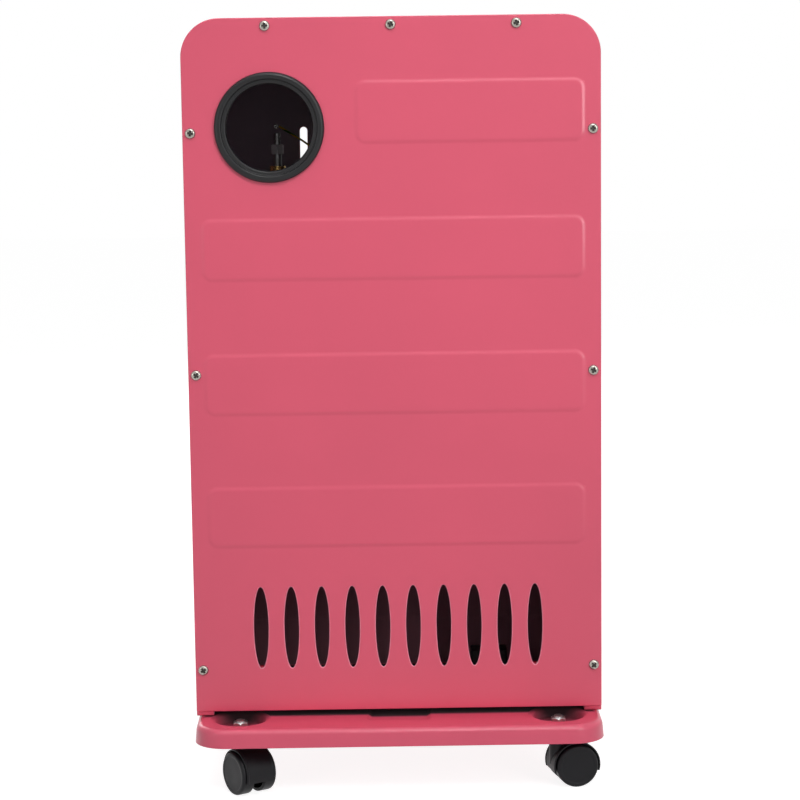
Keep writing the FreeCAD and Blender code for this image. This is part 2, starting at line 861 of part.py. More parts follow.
def make_base():
    """Pressed tray, open underneath, with drawn-in sides, four castor wells and two shallow notches."""
    body = new_body("base")
    draft = "atan(base_draft / base_height)"
    skirt = sketch_on(body, "base_outline", "XY_Plane", "base_bottom")
    rectangle(skirt, minus("half_width"), "half_width", minus("base_half_depth"), "base_half_depth",
              "base_corner")
    pad(body, skirt, "base_height", taper=draft)
    hollow = sketch_on(body, "base_hollow", "XY_Plane", "base_bottom")
    wide, deep = "half_width - base_sheet", "base_half_depth - base_sheet"
    rectangle(hollow, minus(wide), wide, minus(deep), deep, "base_corner - base_sheet")
    pocket(body, hollow, "base_height - base_sheet", reverse=True, taper=draft)
    round_rim(body, "base_rim_inside", "base_top - base_sheet", "base_edge - base_sheet")
    round_rim(body, "base_rim", "base_top", "base_edge")
    well_slope = "atan(well_draft / well_depth)"
    notch_slope = "atan(notch_draft / notch_depth)"
    for name, grow in (("solid", "base_sheet"), ("hollow", "0")):
        wells = sketch_on(body, f"base_well_{name}", "XY_Plane", "base_top")
        for _, x, y in castor_spots():
            circle(wells, x, y, f"well_radius + {grow}")
        notches = sketch_on(body, f"base_notch_{name}", "XY_Plane", "base_top")
        for sign in (1, -1):
            ends = sorted([signed("back_face - notch_reach", sign), signed("back_face + notch_reach", sign)],
                          key=number)
            rectangle(notches, minus(f"notch_width / 2 + {grow}"), f"notch_width / 2 + {grow}",
                      f"{ends[0]} - {grow}", f"{ends[1]} + {grow}", f"notch_corner + {grow}")
        if name == "solid":
            pad(body, wells, "well_depth + base_sheet", reverse=True, taper=well_slope)
            pad(body, notches, "notch_depth + base_sheet", reverse=True, taper=notch_slope)
        else:
            pocket(body, wells, "well_depth", taper=well_slope)
            pocket(body, notches, "notch_depth", taper=notch_slope)
    holes = sketch_on(body, "base_holes", "XY_Plane", "base_top")
    for _, x, y in castor_spots():
        circle(holes, x, y, "stem_radius + screw_clearance")
    for x, y in foot_spots():
        circle(holes, x, y, "screw_bore")
    pocket(body, holes)
    node("base_tray", body)


def make_hood():
    """Castor hood: a fender over both wheels, the web between them and the boss for the stem."""
    body = new_body("hood")
    half = "castor_half_width - hood_side"
    drum = sketch_on(body, "hood_drum", "YZ_Plane", minus(half))
    circle(drum, "castor_trail", "wheel_radius", "fender_outer")
    pad(body, drum, f"2 * ({half})")
    boss = sketch_on(body, "hood_boss", "XY_Plane", "wheel_radius")
    circle(boss, "0", "0", "boss_radius")
    pad(body, boss, "boss_top - wheel_radius")
    for sign in (1, -1):
        room = sketch_on(body, f"hood_room_{'left' if sign > 0 else 'right'}", "YZ_Plane",
                         signed("hood_web / 2", sign))
        circle(room, "castor_trail", "wheel_radius", "fender_inner")
        pocket(body, room, "castor_half_width", reverse=sign > 0)
    skirt = sketch_on(body, "hood_skirt", "XY_Plane", "hood_lift")
    reach = "2 * fender_outer + castor_trail"
    rectangle(skirt, minus(reach), reach, minus(reach), reach)
    pocket(body, skirt, "wheel_radius")
    bore = sketch_on(body, "hood_bore", "XY_Plane", "boss_top")
    circle(bore, "0", "0", "stem_radius + running_clearance")
    pocket(body, bore, "stem_depth + swivel_gap")
    hole = sketch_on(body, "hood_axle_hole", "YZ_Plane")
    circle(hole, "castor_trail", "wheel_radius", "axle_radius + seat_clearance")
    pocket(body, hole)
    return body


def make_wheel():
    """Wheel with a plain outer disc, an open inner side and a blind hub, on the castor's own X axis."""
    inner = "hood_web / 2 + wheel_gap"
    outer = "castor_half_width"
    behind = f"{outer} - wheel_face"
    bore = "axle_radius + running_clearance"
    return turned_body("wheel", "XY_Plane", "H_Axis", [
        (inner, bore),
        (inner, "wheel_hub_radius"),
        (behind, "wheel_hub_radius"),
        (behind, "wheel_radius - wheel_rim"),
        (inner, "wheel_radius - wheel_rim"),
        (inner, "wheel_radius"),
        (outer, "wheel_radius", "wheel_edge"),
        (outer, "0"),
        (f"{outer} - wheel_cap", "0"),
        (f"{outer} - wheel_cap", bore),
    ])


def make_castors():
    """Four swivelling castors, each a hood, an axle and two wheels, on stems bolted into the base wells."""
    hood = make_hood()
    wheel = make_wheel()
    half_axle = "castor_half_width - wheel_cap - swivel_gap"
    axle = cylinder("axle_pin", "axle_radius", f"2 * ({half_axle})", (minus(half_axle), "0", "0"), along="X")
    for name, x, y in castor_spots():
        swivel = f"{name}_swivel"
        axle_spot = (f"{x} - castor_trail * sin({swivel})", f"{y} + castor_trail * cos({swivel})",
                     "wheel_radius")
        pieces = (
            (f"{name}_hood", hood, (x, y, "0"), swivel),
            (f"{name}_axle", axle, axle_spot, swivel),
            (f"{name}_wheel_a", wheel, axle_spot, swivel),
            (f"{name}_wheel_b", wheel, axle_spot, f"{swivel} + 180"),
        )
        for label, master, spot, angle in pieces:
            node(label, copy_of(master, label, spot, turn=angle))
    stem = turned_body("stem", "XZ_Plane", "V_Axis", [
        ("0", "boss_top - stem_depth"),
        ("stem_radius", "boss_top - stem_depth"),
        ("stem_radius", "collar_bottom"),
        ("collar_radius", "collar_bottom"),
        ("collar_radius", "well_under"),
        ("stem_radius", "well_under"),
        ("stem_radius", "well_floor + stem_end"),
        ("0", "well_floor + stem_end"),
    ])
    spots = [(x, y, "0") for _, x, y in castor_spots()]
    copies("castor_stems", stem, spots)
    bar = hexagon("stem_nut_bar", "stem_nut_flat", "stem_nut_height", ("0", "0", "well_floor"))
    bore = cylinder("stem_nut_bore", "stem_radius + running_clearance", "2 * stem_nut_height",
                    ("0", "0", "well_floor - stem_nut_height / 2"))
    copies("castor_nuts", cut("stem_nut", bar, bore), spots)


# Burner


def plaque_places():
    """Middle of each plaque across the burner."""
    count = int(number("plaque_count"))
    return [f"plaque_pitch * ({index} - (plaque_count - 1) / 2)" for index in range(count)]


def make_reflector():
    """Four sloping bright walls from the window in to the plaques, with a flange behind the front panel."""
    body = new_body("reflector")
    slope = "atan(reflector_slope / reflector_depth)"

    def frame(name, grow):
        sketch = sketch_on(body, name, "XZ_Plane", minus("front_inner"))
        rectangle(sketch, minus(f"window_half + {grow}"), f"window_half + {grow}",
                  f"window_bottom - {grow}", f"window_top + {grow}")
        return sketch

    pad(body, frame("reflector_walls", "reflector_sheet"), "reflector_depth", reverse=True, taper=slope)
    pad(body, frame("reflector_rim", "reflector_flange"), "reflector_sheet", reverse=True)
    pocket(body, frame("reflector_mouth", "0"), "reflector_depth", taper=slope)
    gap = sketch_on(body, "reflector_gap", "XY_Plane", "window_mid")
    rectangle(gap, "pilot_offset - pilot_plate_width / 2", "pilot_offset + pilot_plate_width / 2",
              "front_inner + reflector_flange", "plaque_face - tray_wall")
    pocket(body, gap, "window_height")
    node("burner_reflector", body)


def make_burners():
    """Three steel trays, each with a ceramic plaque in its mouth and a mixing tube under it."""
    half = "plaque_width / 2"
    rise = "plaque_height / 2"
    body = new_body("tray")
    shell = sketch_on(body, "tray_shell", "XZ_Plane")
    rectangle(shell, minus(f"{half} + tray_wall"), f"{half} + tray_wall", minus(f"{rise} + tray_wall"),
              f"{rise} + tray_wall", "tray_wall")
    pad(body, shell, "tray_depth", reverse=True)
    seat = sketch_on(body, "tray_seat", "XZ_Plane")
    rectangle(seat, minus(half), half, minus(rise), rise)
    pocket(body, seat, "plaque_thick")
    plenum = sketch_on(body, "tray_plenum", "XZ_Plane")
    rectangle(plenum, minus(f"{half} - tray_ledge"), f"{half} - tray_ledge", minus(f"{rise} - tray_ledge"),
              f"{rise} - tray_ledge", "tray_ledge")
    pocket(body, plenum, "tray_depth - tray_wall")
    entry = sketch_on(body, "tray_entry", "XY_Plane")
    circle(entry, "0", "pipe_y - plaque_face", "mixer_radius - mixer_wall")
    pocket(body, entry, "plaque_height")
    copies("burner_trays", body, [(x, "plaque_face", "window_mid") for x in plaque_places()])

    wide, tall = f"{half} - plaque_clearance", f"{rise} - plaque_clearance"
    tile = box("plaque", (f"2 * ({wide})", "plaque_thick", f"2 * ({tall})"), (minus(wide), "0", minus(tall)))
    copies("ceramic_plaques", tile, [(x, "plaque_face", "window_mid") for x in plaque_places()])

    outside = [("mixer_bell", "0"), ("mixer_throat", "mixer_throat_start"),
               ("mixer_throat", "mixer_throat_end"), ("mixer_radius", "mixer_flare_end"),
               ("mixer_radius", "mixer_length")]
    inside = [(f"{radius} - mixer_wall", height) for radius, height in reversed(outside)]
    mixer = turned_body("mixer", "XZ_Plane", "V_Axis", outside + inside)
    copies("mixing_tubes", mixer, [(x, "pipe_y", "mixer_bottom") for x in plaque_places()])


def make_gas_line():
    """Manifold with three injectors under the mixing tubes, its brackets and the feed pipe from the valve."""
    pipe = cylinder("manifold_pipe", "manifold_radius", "2 * manifold_half",
                    (minus("manifold_half"), "pipe_y", "manifold_z"), along="X")
    bosses = []
    for index, x in enumerate(plaque_places(), start=1):
        bosses.append(cylinder(f"manifold_boss_{index}", "manifold_boss_radius",
                               "manifold_radius + manifold_boss_rise", (x, "pipe_y", "manifold_z")))
    line = fuse("manifold_line", pipe, *bosses)
    for index, x in enumerate(plaque_places(), start=1):
        bore = cylinder(f"manifold_bore_{index}", "injector_stem_radius + running_clearance",
                        "2 * injector_stem_length",
                        (x, "pipe_y", "injector_seat - injector_stem_length - running_clearance"))
        line = cut(f"manifold_bored_{index}", line, bore)
    node("gas_manifold", line)

    stem = cylinder("injector_stem", "injector_stem_radius", "injector_stem_length",
                    ("0", "0", minus("injector_stem_length")))
    collar = hexagon("injector_hex", "injector_flat", "injector_hex_height", ("0", "0", "0"))
    nozzle = cylinder("injector_nozzle", "injector_nozzle_radius", "injector_nozzle_length",
                      ("0", "0", "injector_hex_height"))
    copies("injectors", fuse("injector", stem, collar, nozzle),
           [(x, "pipe_y", "injector_seat") for x in plaque_places()])

    foot = box("bracket_foot", ("bracket_width", "bracket_sheet", "bracket_height"),
               ("0", "front_inner", "manifold_z - bracket_height / 2"))
    arm = box("bracket_arm", ("bracket_sheet", "pipe_y - front_inner + bracket_height / 2", "bracket_height"),
              ("0", "front_inner", "manifold_z - bracket_height / 2"))
    hole = cylinder("bracket_hole", "manifold_radius + running_clearance", "2 * bracket_width",
                    (minus("bracket_width"), "pipe_y", "manifold_z"), along="X")
    bracket = cut("bracket", fuse("bracket_blank", foot, arm), hole)
    copies("manifold_brackets", bracket, [(signed("plaque_pitch / 2", sign), "0", "0") for sign in (1, -1)])

    start = "control_x + valve_half_width + valve_outlet_length"
    feed = bent_rod("feed", "XZ_Plane", minus("pipe_y"), [
        (start, "control_z"), ("feed_x", "control_z", "feed_bend"), ("feed_x", "manifold_z", "feed_bend"),
        ("manifold_half", "manifold_z")], "feed_radius", "YZ_Plane", start, ("pipe_y", "control_z"))
    node("feed_pipe", feed)


def make_heat_shield():
    """Sheet across the cabinet behind the burner, with a flange to each side wall."""
    body = new_body("shield")
    plan = sketch_on(body, "shield_plan", "XY_Plane", "window_bottom - shield_margin")
    side = "half_width - sheet"
    back = "shield_y + shield_flange"
    outline(plan, [(minus(side), "shield_y"), (side, "shield_y"), (side, back), (f"{side} - sheet", back),
                   (f"{side} - sheet", "shield_y + sheet"), (minus(f"{side} - sheet"), "shield_y + sheet"),
                   (minus(f"{side} - sheet"), back), (minus(side), back)])
    pad(body, plan, "window_height + 2 * shield_margin")
    node("heat_shield", body)


# Guard


def guard_leg_spots():
    return [(signed("guard_leg_x", across), f"window_mid + {signed('guard_rise', up)}")
            for across in (1, -1) for up in (1, -1)]


def make_guard():
    """Welded wire guard in front of the window: a bent rod frame on legs, with upright and cross wires."""
    low, high = "window_mid - guard_rise", "window_mid + guard_rise"
    frame = bent_rod("guard", "XZ_Plane", minus("guard_y"), [
        ("0", low), ("guard_half", low, "guard_corner"), ("guard_half", high, "guard_corner"),
        (minus("guard_half"), high, "guard_corner"), (minus("guard_half"), low, "guard_corner")],
        "guard_rod_radius", "YZ_Plane", "0", ("guard_y", low), closed=True)
    legs = [cylinder(f"guard_leg_{index}", "guard_rod_radius", "front_inner - guard_y + guard_leg_tail",
                     (x, "guard_y", z), along="Y") for index, (x, z) in enumerate(guard_leg_spots(), start=1)]
    node("guard_frame", fuse("guard_frame_welded", frame, *legs))

    count = int(number("guard_wire_count"))
    wires = []
    for index in range(1, count + 1):
        x = f"guard_half * (2 * {index} / (guard_wire_count + 1) - 1)"
        wires.append(cylinder(f"guard_upright_{index}", "guard_wire_radius",
                              "2 * (guard_rise + guard_rod_radius)",
                              (x, "guard_wire_y", f"{low} - guard_rod_radius")))
    span = "guard_half - guard_rod_radius - weld_gap"
    behind = "guard_wire_y + 2 * guard_wire_radius + weld_gap"
    for name, sign in (("high", 1), ("low", -1)):
        wires.append(cylinder(f"guard_cross_{name}", "guard_wire_radius", f"2 * ({span})",
                              (minus(span), behind, f"window_mid + {sign} * guard_cross_spread / 2"),
                              along="X"))
    group = doc.addObject("Part::Compound", "guard_wire_group")
    group.Links = wires
    node("guard_wires", group)

    clip = ring_body("guard_clip", "guard_rod_radius + running_clearance", "guard_clip_radius",
                     "guard_clip_height")
    copies("guard_clips", clip, [(x, "front_inner", z) for x, z in guard_leg_spots()], along="Y")


# Gas control


def make_valve():
    """Gas tap on a bracket behind the front panel, with its outlet to the feed pipe on one side."""
    body = new_body("valve")
    block = sketch_on(body, "valve_block", "XZ_Plane", minus("valve_front"))
    rectangle(block, "control_x - valve_half_width", "control_x + valve_half_width",
              "control_z - valve_half_height", "control_z + valve_half_height", "valve_corner")
    pad(body, block, "valve_back - valve_front", reverse=True)
    outlet = sketch_on(body, "valve_outlet", "YZ_Plane", "control_x + valve_half_width")
    circle(outlet, "pipe_y", "control_z", "valve_outlet_radius")
    pad(body, outlet, "valve_outlet_length")
    bore = sketch_on(body, "valve_bore", "XZ_Plane", minus("valve_front"))
    circle(bore, "control_x", "control_z", "spindle_radius + running_clearance")
    pocket(body, bore, "spindle_depth + push_travel + sheet")
    node("valve_body", body)

    width = "2 * valve_bracket_half_width"
    left = "control_x - valve_bracket_half_width"
    low = "control_z - valve_half_height"
    height = "2 * valve_half_height + valve_bracket_rise"
    plate = box("valve_plate", (width, "bracket_sheet", height), (left, "valve_front - bracket_sheet", low))
    feet = [box(f"valve_foot_{name}", (width, "valve_stand", "bracket_sheet"), (left, "front_inner", z))
            for name, z in (("low", low), ("high", f"{low} + {height} - bracket_sheet"))]
    hole = cylinder("valve_plate_hole", "spindle_hole", "2 * valve_stand",
                    ("control_x", "front_inner", "control_z"), along="Y")
    node("valve_bracket", cut("valve_bracket_bored", fuse("valve_bracket_blank", plate, *feet), hole))


def make_knob():
    """Push-and-turn knob on a spindle, with a collar that carries the push, over a dial ring."""
    front = "knob_back - knob_length"
    grip = "knob_grip_width / 2"
    body = new_body("knob")
    profile = sketch_on(body, "knob_profile", "XY_Plane")
    outline(profile, [
        ("spindle_radius + seat_clearance", "knob_back"), ("knob_radius", "knob_back"),
        ("knob_radius", "knob_back - knob_skirt"), ("knob_top_radius + knob_draft", "knob_back - knob_skirt"),
        ("knob_top_radius", front), ("0", front), ("0", "knob_back - spindle_reach + knob_skirt"),
        ("spindle_radius + seat_clearance", "knob_back - spindle_reach + knob_skirt")])
    turned(body, profile, "V_Axis")
    ridge = sketch_on(body, "knob_ridge", "XZ_Plane", minus(front))
    reach = "knob_top_radius - knob_grip_inset"
    rectangle(ridge, minus(grip), grip, minus(reach), reach, grip)
    pad(body, ridge, "knob_grip_height", taper="knob_grip_taper")
    node("control_knob", place(body, ("control_x", "0", "control_z")))

    tip = "knob_back - spindle_reach + knob_skirt"
    node("valve_spindle", cylinder("spindle", "spindle_radius", f"valve_front + spindle_depth - ({tip})",
                                   ("control_x", tip, "control_z"), along="Y"))
    ring = ring_body("push_ring", "spindle_radius + running_clearance", "collar_ring_radius",
                     "collar_ring_length")
    behind_knob = ("control_x", "knob_back + running_clearance", "control_z")
    node("spindle_collar", place(ring, behind_knob, along="Y"))
    bezel = turned_body("bezel", "XZ_Plane", "V_Axis", [
        ("spindle_hole", "0"), ("bezel_radius", "0"), ("bezel_radius - bezel_sheet / 2", "bezel_sheet"),
        ("spindle_hole", "bezel_sheet")])
    node("dial_bezel", place(bezel, ("control_x", "front_face", "control_z"), along="-Y"))


def make_inlet():
    """Gas inlet: a brass elbow behind the valve, turned up to a hose tail held by a loose nut."""
    elbow = bent_rod("elbow", "YZ_Plane", "control_x", [
        ("valve_back", "control_z"), ("inlet_y", "control_z", "elbow_bend"), ("inlet_y", "elbow_top")],
        "elbow_radius", "XZ_Plane", minus("valve_back"), ("control_x", "control_z"))
    node("inlet_elbow", elbow)

    pitch = "(tail_length + tail_groove_width) / tail_lands"
    waist = "tail_radius - tail_groove"
    lands = []
    for index in range(int(number("tail_lands"))):
        foot = f"inlet_nut_top + {index} * {pitch}"
        crown = f"{foot} + {pitch} - tail_groove_width"
        lands += [(waist, foot), ("tail_radius", foot), ("tail_radius", crown), (waist, crown)]
    tail = turned_body("tail", "XZ_Plane", "V_Axis", [
        ("0", "elbow_top"), ("inlet_shank_radius", "elbow_top"), ("inlet_shank_radius", "inlet_nut_top"),
        *lands[1:-1], ("0", "inlet_nut_top + tail_length")])
    node("hose_tail", place(tail, ("control_x", "inlet_y", "0")))
    bar = hexagon("inlet_nut_bar", "inlet_nut_flat", "inlet_nut_height",
                  ("control_x", "inlet_y", "inlet_nut_bottom"))
    bore = cylinder("inlet_nut_bore", "inlet_shank_radius + running_clearance", "2 * inlet_nut_height",
                    ("control_x", "inlet_y", "inlet_nut_bottom - inlet_nut_height / 2"))
    node("inlet_nut", cut("inlet_nut_bored", bar, bore))


# Ignition and safety


def make_igniter():
    """Push-button spark generator in the front panel."""
    face = "front_face - igniter_flange"
    bore = "button_radius + running_clearance"
    body = turned_body("igniter", "XY_Plane", "V_Axis", [
        ("0", f"{face} + igniter_bore_depth"), (bore, f"{face} + igniter_bore_depth"), (bore, face),
        ("igniter_flange_radius - igniter_flange_bevel", face), ("igniter_flange_radius", "front_face"),
        ("igniter_radius", "front_face"), ("igniter_radius", f"{face} + igniter_length"),
        ("0", f"{face} + igniter_length")])
    node("igniter_body", place(body, ("igniter_x", "0", "control_z")))
    back = f"{face} + igniter_bore_depth - button_travel - sheet"
    front = f"{face} - button_stand"
    button = turned_body("button", "XY_Plane", "V_Axis", [
        ("0", back), ("button_radius", back), ("button_radius", f"{front} + button_bevel"),
        ("button_radius - button_bevel", front), ("0", front)])
    node("igniter_button", place(button, ("igniter_x", "0", "control_z")))


def pilot_spots():
    """Burner, thermocouple and electrode of the pilot, side by side and each a step further back."""
    return [(f"pilot_offset + {1 - index} * pilot_spread", f"pilot_y + {index} * pilot_step")
            for index in range(3)]


def stepped_rod(label, spot, radius, shoulder, tip_radius, length):
    """An upright rod on the pilot plate, thinner above its shoulder."""
    body = turned_body(f"{label}_rod", "XZ_Plane", "V_Axis", [
        ("0", "0"), (radius, "0"), (radius, shoulder), (tip_radius, shoulder), (tip_radius, length),
        ("0", length)])
    node(label, place(body, spot + ("pilot_z",)))


def make_pilot():
    """Pilot group on a bent plate under the window, standing through the gap in the reflector."""
    left = "pilot_offset - pilot_plate_width / 2"
    depth = f"{pilot_spots()[2][1]} + pilot_step - front_inner"
    shelf = box("pilot_shelf", ("pilot_plate_width", depth, "bracket_sheet"),
                (left, "front_inner", "pilot_z - bracket_sheet"))
    foot = box("pilot_foot", ("pilot_plate_width", "bracket_sheet", "pilot_foot_height"),
               (left, "front_inner", "pilot_z - pilot_foot_height"))
    node("pilot_bracket", fuse("pilot_plate", shelf, foot))
    burner_spot, couple_spot, spark_spot = pilot_spots()
    stepped_rod("pilot_burner", burner_spot, "pilot_burner_radius", "pilot_shoulder",
                "pilot_tip_radius", "pilot_burner_length")
    stepped_rod("thermocouple", couple_spot, "thermocouple_radius", "thermocouple_shoulder",
                "thermocouple_tip_radius", "thermocouple_length")
    stepped_rod("spark_electrode", spark_spot, "electrode_radius", "electrode_length",
                "electrode_wire_radius", "electrode_length + electrode_wire_length")


def make_leads():
    """Pilot pipe, thermocouple lead and ignition lead, each round the burner to the pilot group."""
    starts = (
        ("pilot_pipe", "control_x + valve_half_width / 2", "control_z - valve_half_height"),
        ("thermocouple_lead", "control_x - valve_half_width / 2", "control_z - valve_half_height"),
        ("ignition_lead", "igniter_x", "control_z - igniter_radius"),
    )
    for (label, x, z), (end_x, end_y) in zip(starts, pilot_spots()):
        lead = bent_rod(label, "XZ_Plane", minus(end_y), [
            (x, z), (x, "lead_top", "lead_bend"), ("lead_x", "lead_top", "lead_bend"),
            ("lead_x", "lead_bottom", "lead_bend"), (end_x, "lead_bottom", "lead_bend"),
            (end_x, "pilot_z - bracket_sheet")], "lead_radius", "XY_Plane", z, (x, end_y))
        node(label, lead)


def tube_along(points, radius):
    """A round wire through the points: straight runs joined by tangent arcs, as large as the runs allow."""
    edges = []
    start = points[0]
    for before, corner, after in zip(points, points[1:], points[2:]):
        back, ahead = before - corner, after - corner
        half_turn = (math.pi - back.getAngle(ahead)) / 2
        reach = BEND_SHARE * min(back.Length, ahead.Length)
        bend = reach / math.tan(half_turn)
        back.normalize()
        ahead.normalize()
        entry, leave = corner + back * reach, corner + ahead * reach
        middle = (back + ahead).normalize()
        inside = corner + middle * (bend / math.cos(half_turn) - bend)
        edges += [Part.LineSegment(start, entry).toShape(), Part.Arc(entry, inside, leave).toShape()]
        start = leave
    edges.append(Part.LineSegment(start, points[-1]).toShape())
    path = Part.Wire(edges)
    section = Part.Wire([Part.makeCircle(radius, points[0], points[1] - points[0])])
    return path.makePipeShell([section], True, False)


def make_earth():
    """Earth screw on the front panel, and the thin wire from it down to the spark generator."""
    screw_x, screw_z = "hose_x + earth_aside", "hose_z - earth_drop"
    screw = cylinder("earth_head", "earth_screw_radius", "earth_screw_height",
                     (screw_x, "front_inner", screw_z), along="Y")
    node("earth_screw", screw)
    start = (f"{screw_x} - earth_screw_radius - earth_radius",
             "front_inner + earth_screw_height / 2", screw_z)
    points = [Vector(*map(number, start))]
    aside = number("igniter_x") - points[0].x
    drop = number("control_z + igniter_radius") - points[0].z
    lift = number("earth_screw_height / 2")
    for across, depth, down in EARTH_ROUTE:
        points.append(points[0] + Vector(aside * across, depth - lift, drop * down))
    wire = doc.addObject("Part::Feature", "earth_lead")
    wire.Shape = tube_along(points, number("earth_radius"))
    node("earth_wire", wire)


def make_tilt_switch():
    """Tip-over switch in a moulded case with two feet, standing on the base inside the cabinet."""
    body = new_body("tilt")
    feet = sketch_on(body, "tilt_feet", "XY_Plane")
    long_half = "tilt_width / 2 + tilt_foot"
    half, deep = "tilt_width / 2", "tilt_depth / 2"
    rectangle(feet, minus(long_half), long_half, minus(deep), deep, "tilt_corner")
    pad(body, feet, "tilt_foot_height")
    case = sketch_on(body, "tilt_case", "XY_Plane")
    rectangle(case, minus(half), half, minus(deep), deep, "tilt_corner")
    pad(body, case, "tilt_height", taper="tilt_taper")
    node("tilt_switch", place(body, (minus("tilt_offset"), "pipe_y", "base_top")))


def check_and_write():
    """Stop if anything failed to build, then write each sub-part."""
    doc.recompute()
    failed = [thing.Name for thing in doc.Objects if {"Invalid", "Error"} & set(thing.State)]
    if failed:
        raise RuntimeError(f"failed features: {failed}")
    for label, thing in nodes.items():
        shape = Part.getShape(thing)
        if shape.isNull() or not shape.isValid() or not shape.Solids:
            raise RuntimeError(f"bad shape: {label}")
    os.makedirs("parts", exist_ok=True)
    for label, thing in nodes.items():
        Part.getShape(thing).exportStep(f"parts/{label}.step")


dims = make_sheet()
make_casing()
make_back_panel()
make_front_panel()
make_grommet()
make_cabinet_screws()
make_base()
make_castors()
make_reflector()
make_burners()
make_gas_line()
make_heat_shield()
make_guard()
make_valve()
make_knob()
make_inlet()
make_igniter()
make_pilot()
make_leads()
make_earth()
make_tilt_switch()
check_and_write()
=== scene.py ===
"""Looks of a mobile gas heater on its CAD frame: rose sheet metal, black plastic and bright fittings.

Sizes are millimetres in the CAD frame: +Z up, the front faces -Y, the origin on the floor under the base.
"""
import logging
import math
from abc import ABC, abstractmethod
from collections.abc import Sequence
from dataclasses import dataclass
from enum import Enum, IntEnum
from functools import cached_property

import bmesh
import bpy
import numpy as np
from mathutils import Matrix, Vector
from mathutils.geometry import delaunay_2d_cdt


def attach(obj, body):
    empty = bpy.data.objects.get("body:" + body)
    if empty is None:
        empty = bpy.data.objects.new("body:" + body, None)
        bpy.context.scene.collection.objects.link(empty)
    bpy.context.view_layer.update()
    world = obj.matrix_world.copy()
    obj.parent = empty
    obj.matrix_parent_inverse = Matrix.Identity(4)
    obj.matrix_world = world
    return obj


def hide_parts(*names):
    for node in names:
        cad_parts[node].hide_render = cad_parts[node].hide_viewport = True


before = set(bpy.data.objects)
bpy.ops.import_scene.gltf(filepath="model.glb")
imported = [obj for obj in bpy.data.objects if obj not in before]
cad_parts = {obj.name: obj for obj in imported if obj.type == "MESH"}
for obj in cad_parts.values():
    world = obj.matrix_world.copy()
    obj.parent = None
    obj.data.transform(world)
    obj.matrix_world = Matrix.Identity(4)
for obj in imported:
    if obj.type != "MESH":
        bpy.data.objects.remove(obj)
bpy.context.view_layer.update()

MM = 0.001
WELD_STEPS_PER_METRE = 2e6
SHARP_ANGLE = math.radians(40.0)
SAME_POINT = 1e-9
FILL_TOLERANCE = 1e-7
SLIVER = 0.01

log = logging.getLogger("heater")

Triple = tuple[float, float, float]
Colour = Triple
Corner = Triple
Socket = bpy.types.NodeSocket
Inputs = dict[str | int, object]

# Directions are named as seen from the front.
RIGHT: Triple = (1.0, 0.0, 0.0)
BACKWARD: Triple = (0.0, 1.0, 0.0)
FORWARD: Triple = (0.0, -1.0, 0.0)
UP: Triple = (0.0, 0.0, 1.0)

# A direction that no tube runs along.
TUBE_SIDE: Triple = (0.3, 1.0, 0.0)

# How far from a rounded corner its run is held straight: shares of the radius and of the run that is left.
HOLD_SHARE = 0.5
SPARE_SHARE = 0.3


class Tone(IntEnum):
    """A finish's place in its piece's list; names that share a number belong to different pieces."""

    FACE = 0
    INNER = 1
    RECESS = 1
    MARK = 1
    STRIPE = 1
    # The lips' finish is a painted highlight.
    LIP = 2
    # The wells' finishes carry painted shade.
    REAR_WELL = 2
    SHADED_FRONT_WELL = 3


# Surfaces


@dataclass(frozen=True)
class Plane:
    """A working plane: its origin, and the world directions of across, up and out."""

    origin: Triple
    across: Triple = RIGHT
    up: Triple = UP
    out: Triple = BACKWARD

    def lift(self, points: np.ndarray) -> np.ndarray:
        """Take points to the world, in metres: origin plus across, up and out, each times its coordinate."""
        return (np.asarray(self.origin) + points @ np.array([self.across, self.up, self.out])) * MM


def level_plane(height: float = 0.0) -> Plane:
    """Give a level plane at a height, facing up."""
    return Plane((0.0, 0.0, height), up=BACKWARD, out=UP)


PANEL_Y = 95.0
WORLD = level_plane()
UPRIGHT = Plane((0.0, 0.0, 0.0))
BACK = Plane((0.0, PANEL_Y, 0.0))
FRONT = Plane((0.0, -PANEL_Y, 0.0), out=FORWARD)


@dataclass(frozen=True)
class Path:
    """A line in a plane with the outward direction at each of its points."""

    points: np.ndarray
    normals: np.ndarray

    def moved(self, offset: float) -> np.ndarray:
        """Give the line moved outwards: each point plus the offset times its own normal."""
        return self.points + self.normals * offset

    def turned(self, angle: float, x: float = 0.0, y: float = 0.0) -> "Path":
        """Turn the line about the origin and then shift it.

        Args:
            angle: Turn in radians, anticlockwise.
            x: Shift across.
            y: Shift up.

        Returns:
            The turned line.
        """
        cosine, sine = math.cos(angle), math.sin(angle)
        turn = np.array([[cosine, sine], [-sine, cosine]])
        return Path(self.points @ turn + np.array([x, y]), self.normals @ turn)


def whole_turn(count: int) -> np.ndarray:
    """Give evenly spaced angles once round, in radians."""
    return np.linspace(0.0, 2.0 * np.pi, count, endpoint=False)


def directions(turn: np.ndarray) -> np.ndarray:
    """Give (cos, sin) of each angle, on a last axis."""
    return np.stack([np.cos(turn), np.sin(turn)], axis=-1)


def rounded_box(left: float, right: float, low: float, high: float, radii: float | Sequence[float],
                steps: int = 10) -> Path:
    """Draw four straight sides joined by quarter arcs.

    Formula: a corner's points are its arc's centre plus the radius times (cos, sin) over a quarter turn.

    Args:
        left: Left side.
        right: Right side.
        low: Lower side.
        high: Upper side.
        radii: One radius, or those of the low right, high right, high left and low left corners.
        steps: Pieces in each arc.

    Returns:
        A closed path, anticlockwise.
    """
    radius = np.broadcast_to(np.asarray(radii, float), (4,))[:, None]
    corner = np.array([[right, low], [right, high], [left, high], [left, low]], float)
    centre = corner + np.array([[-1, 1], [-1, -1], [1, -1], [1, 1]]) * radius
    turn = np.radians(np.array([-90.0, 0.0, 90.0, 180.0])[:, None] + np.linspace(0.0, 90.0, steps + 1))
    normals = directions(turn)
    points = centre[:, None] + normals * radius[:, None]
    return Path(points.reshape(-1, 2), normals.reshape(-1, 2))


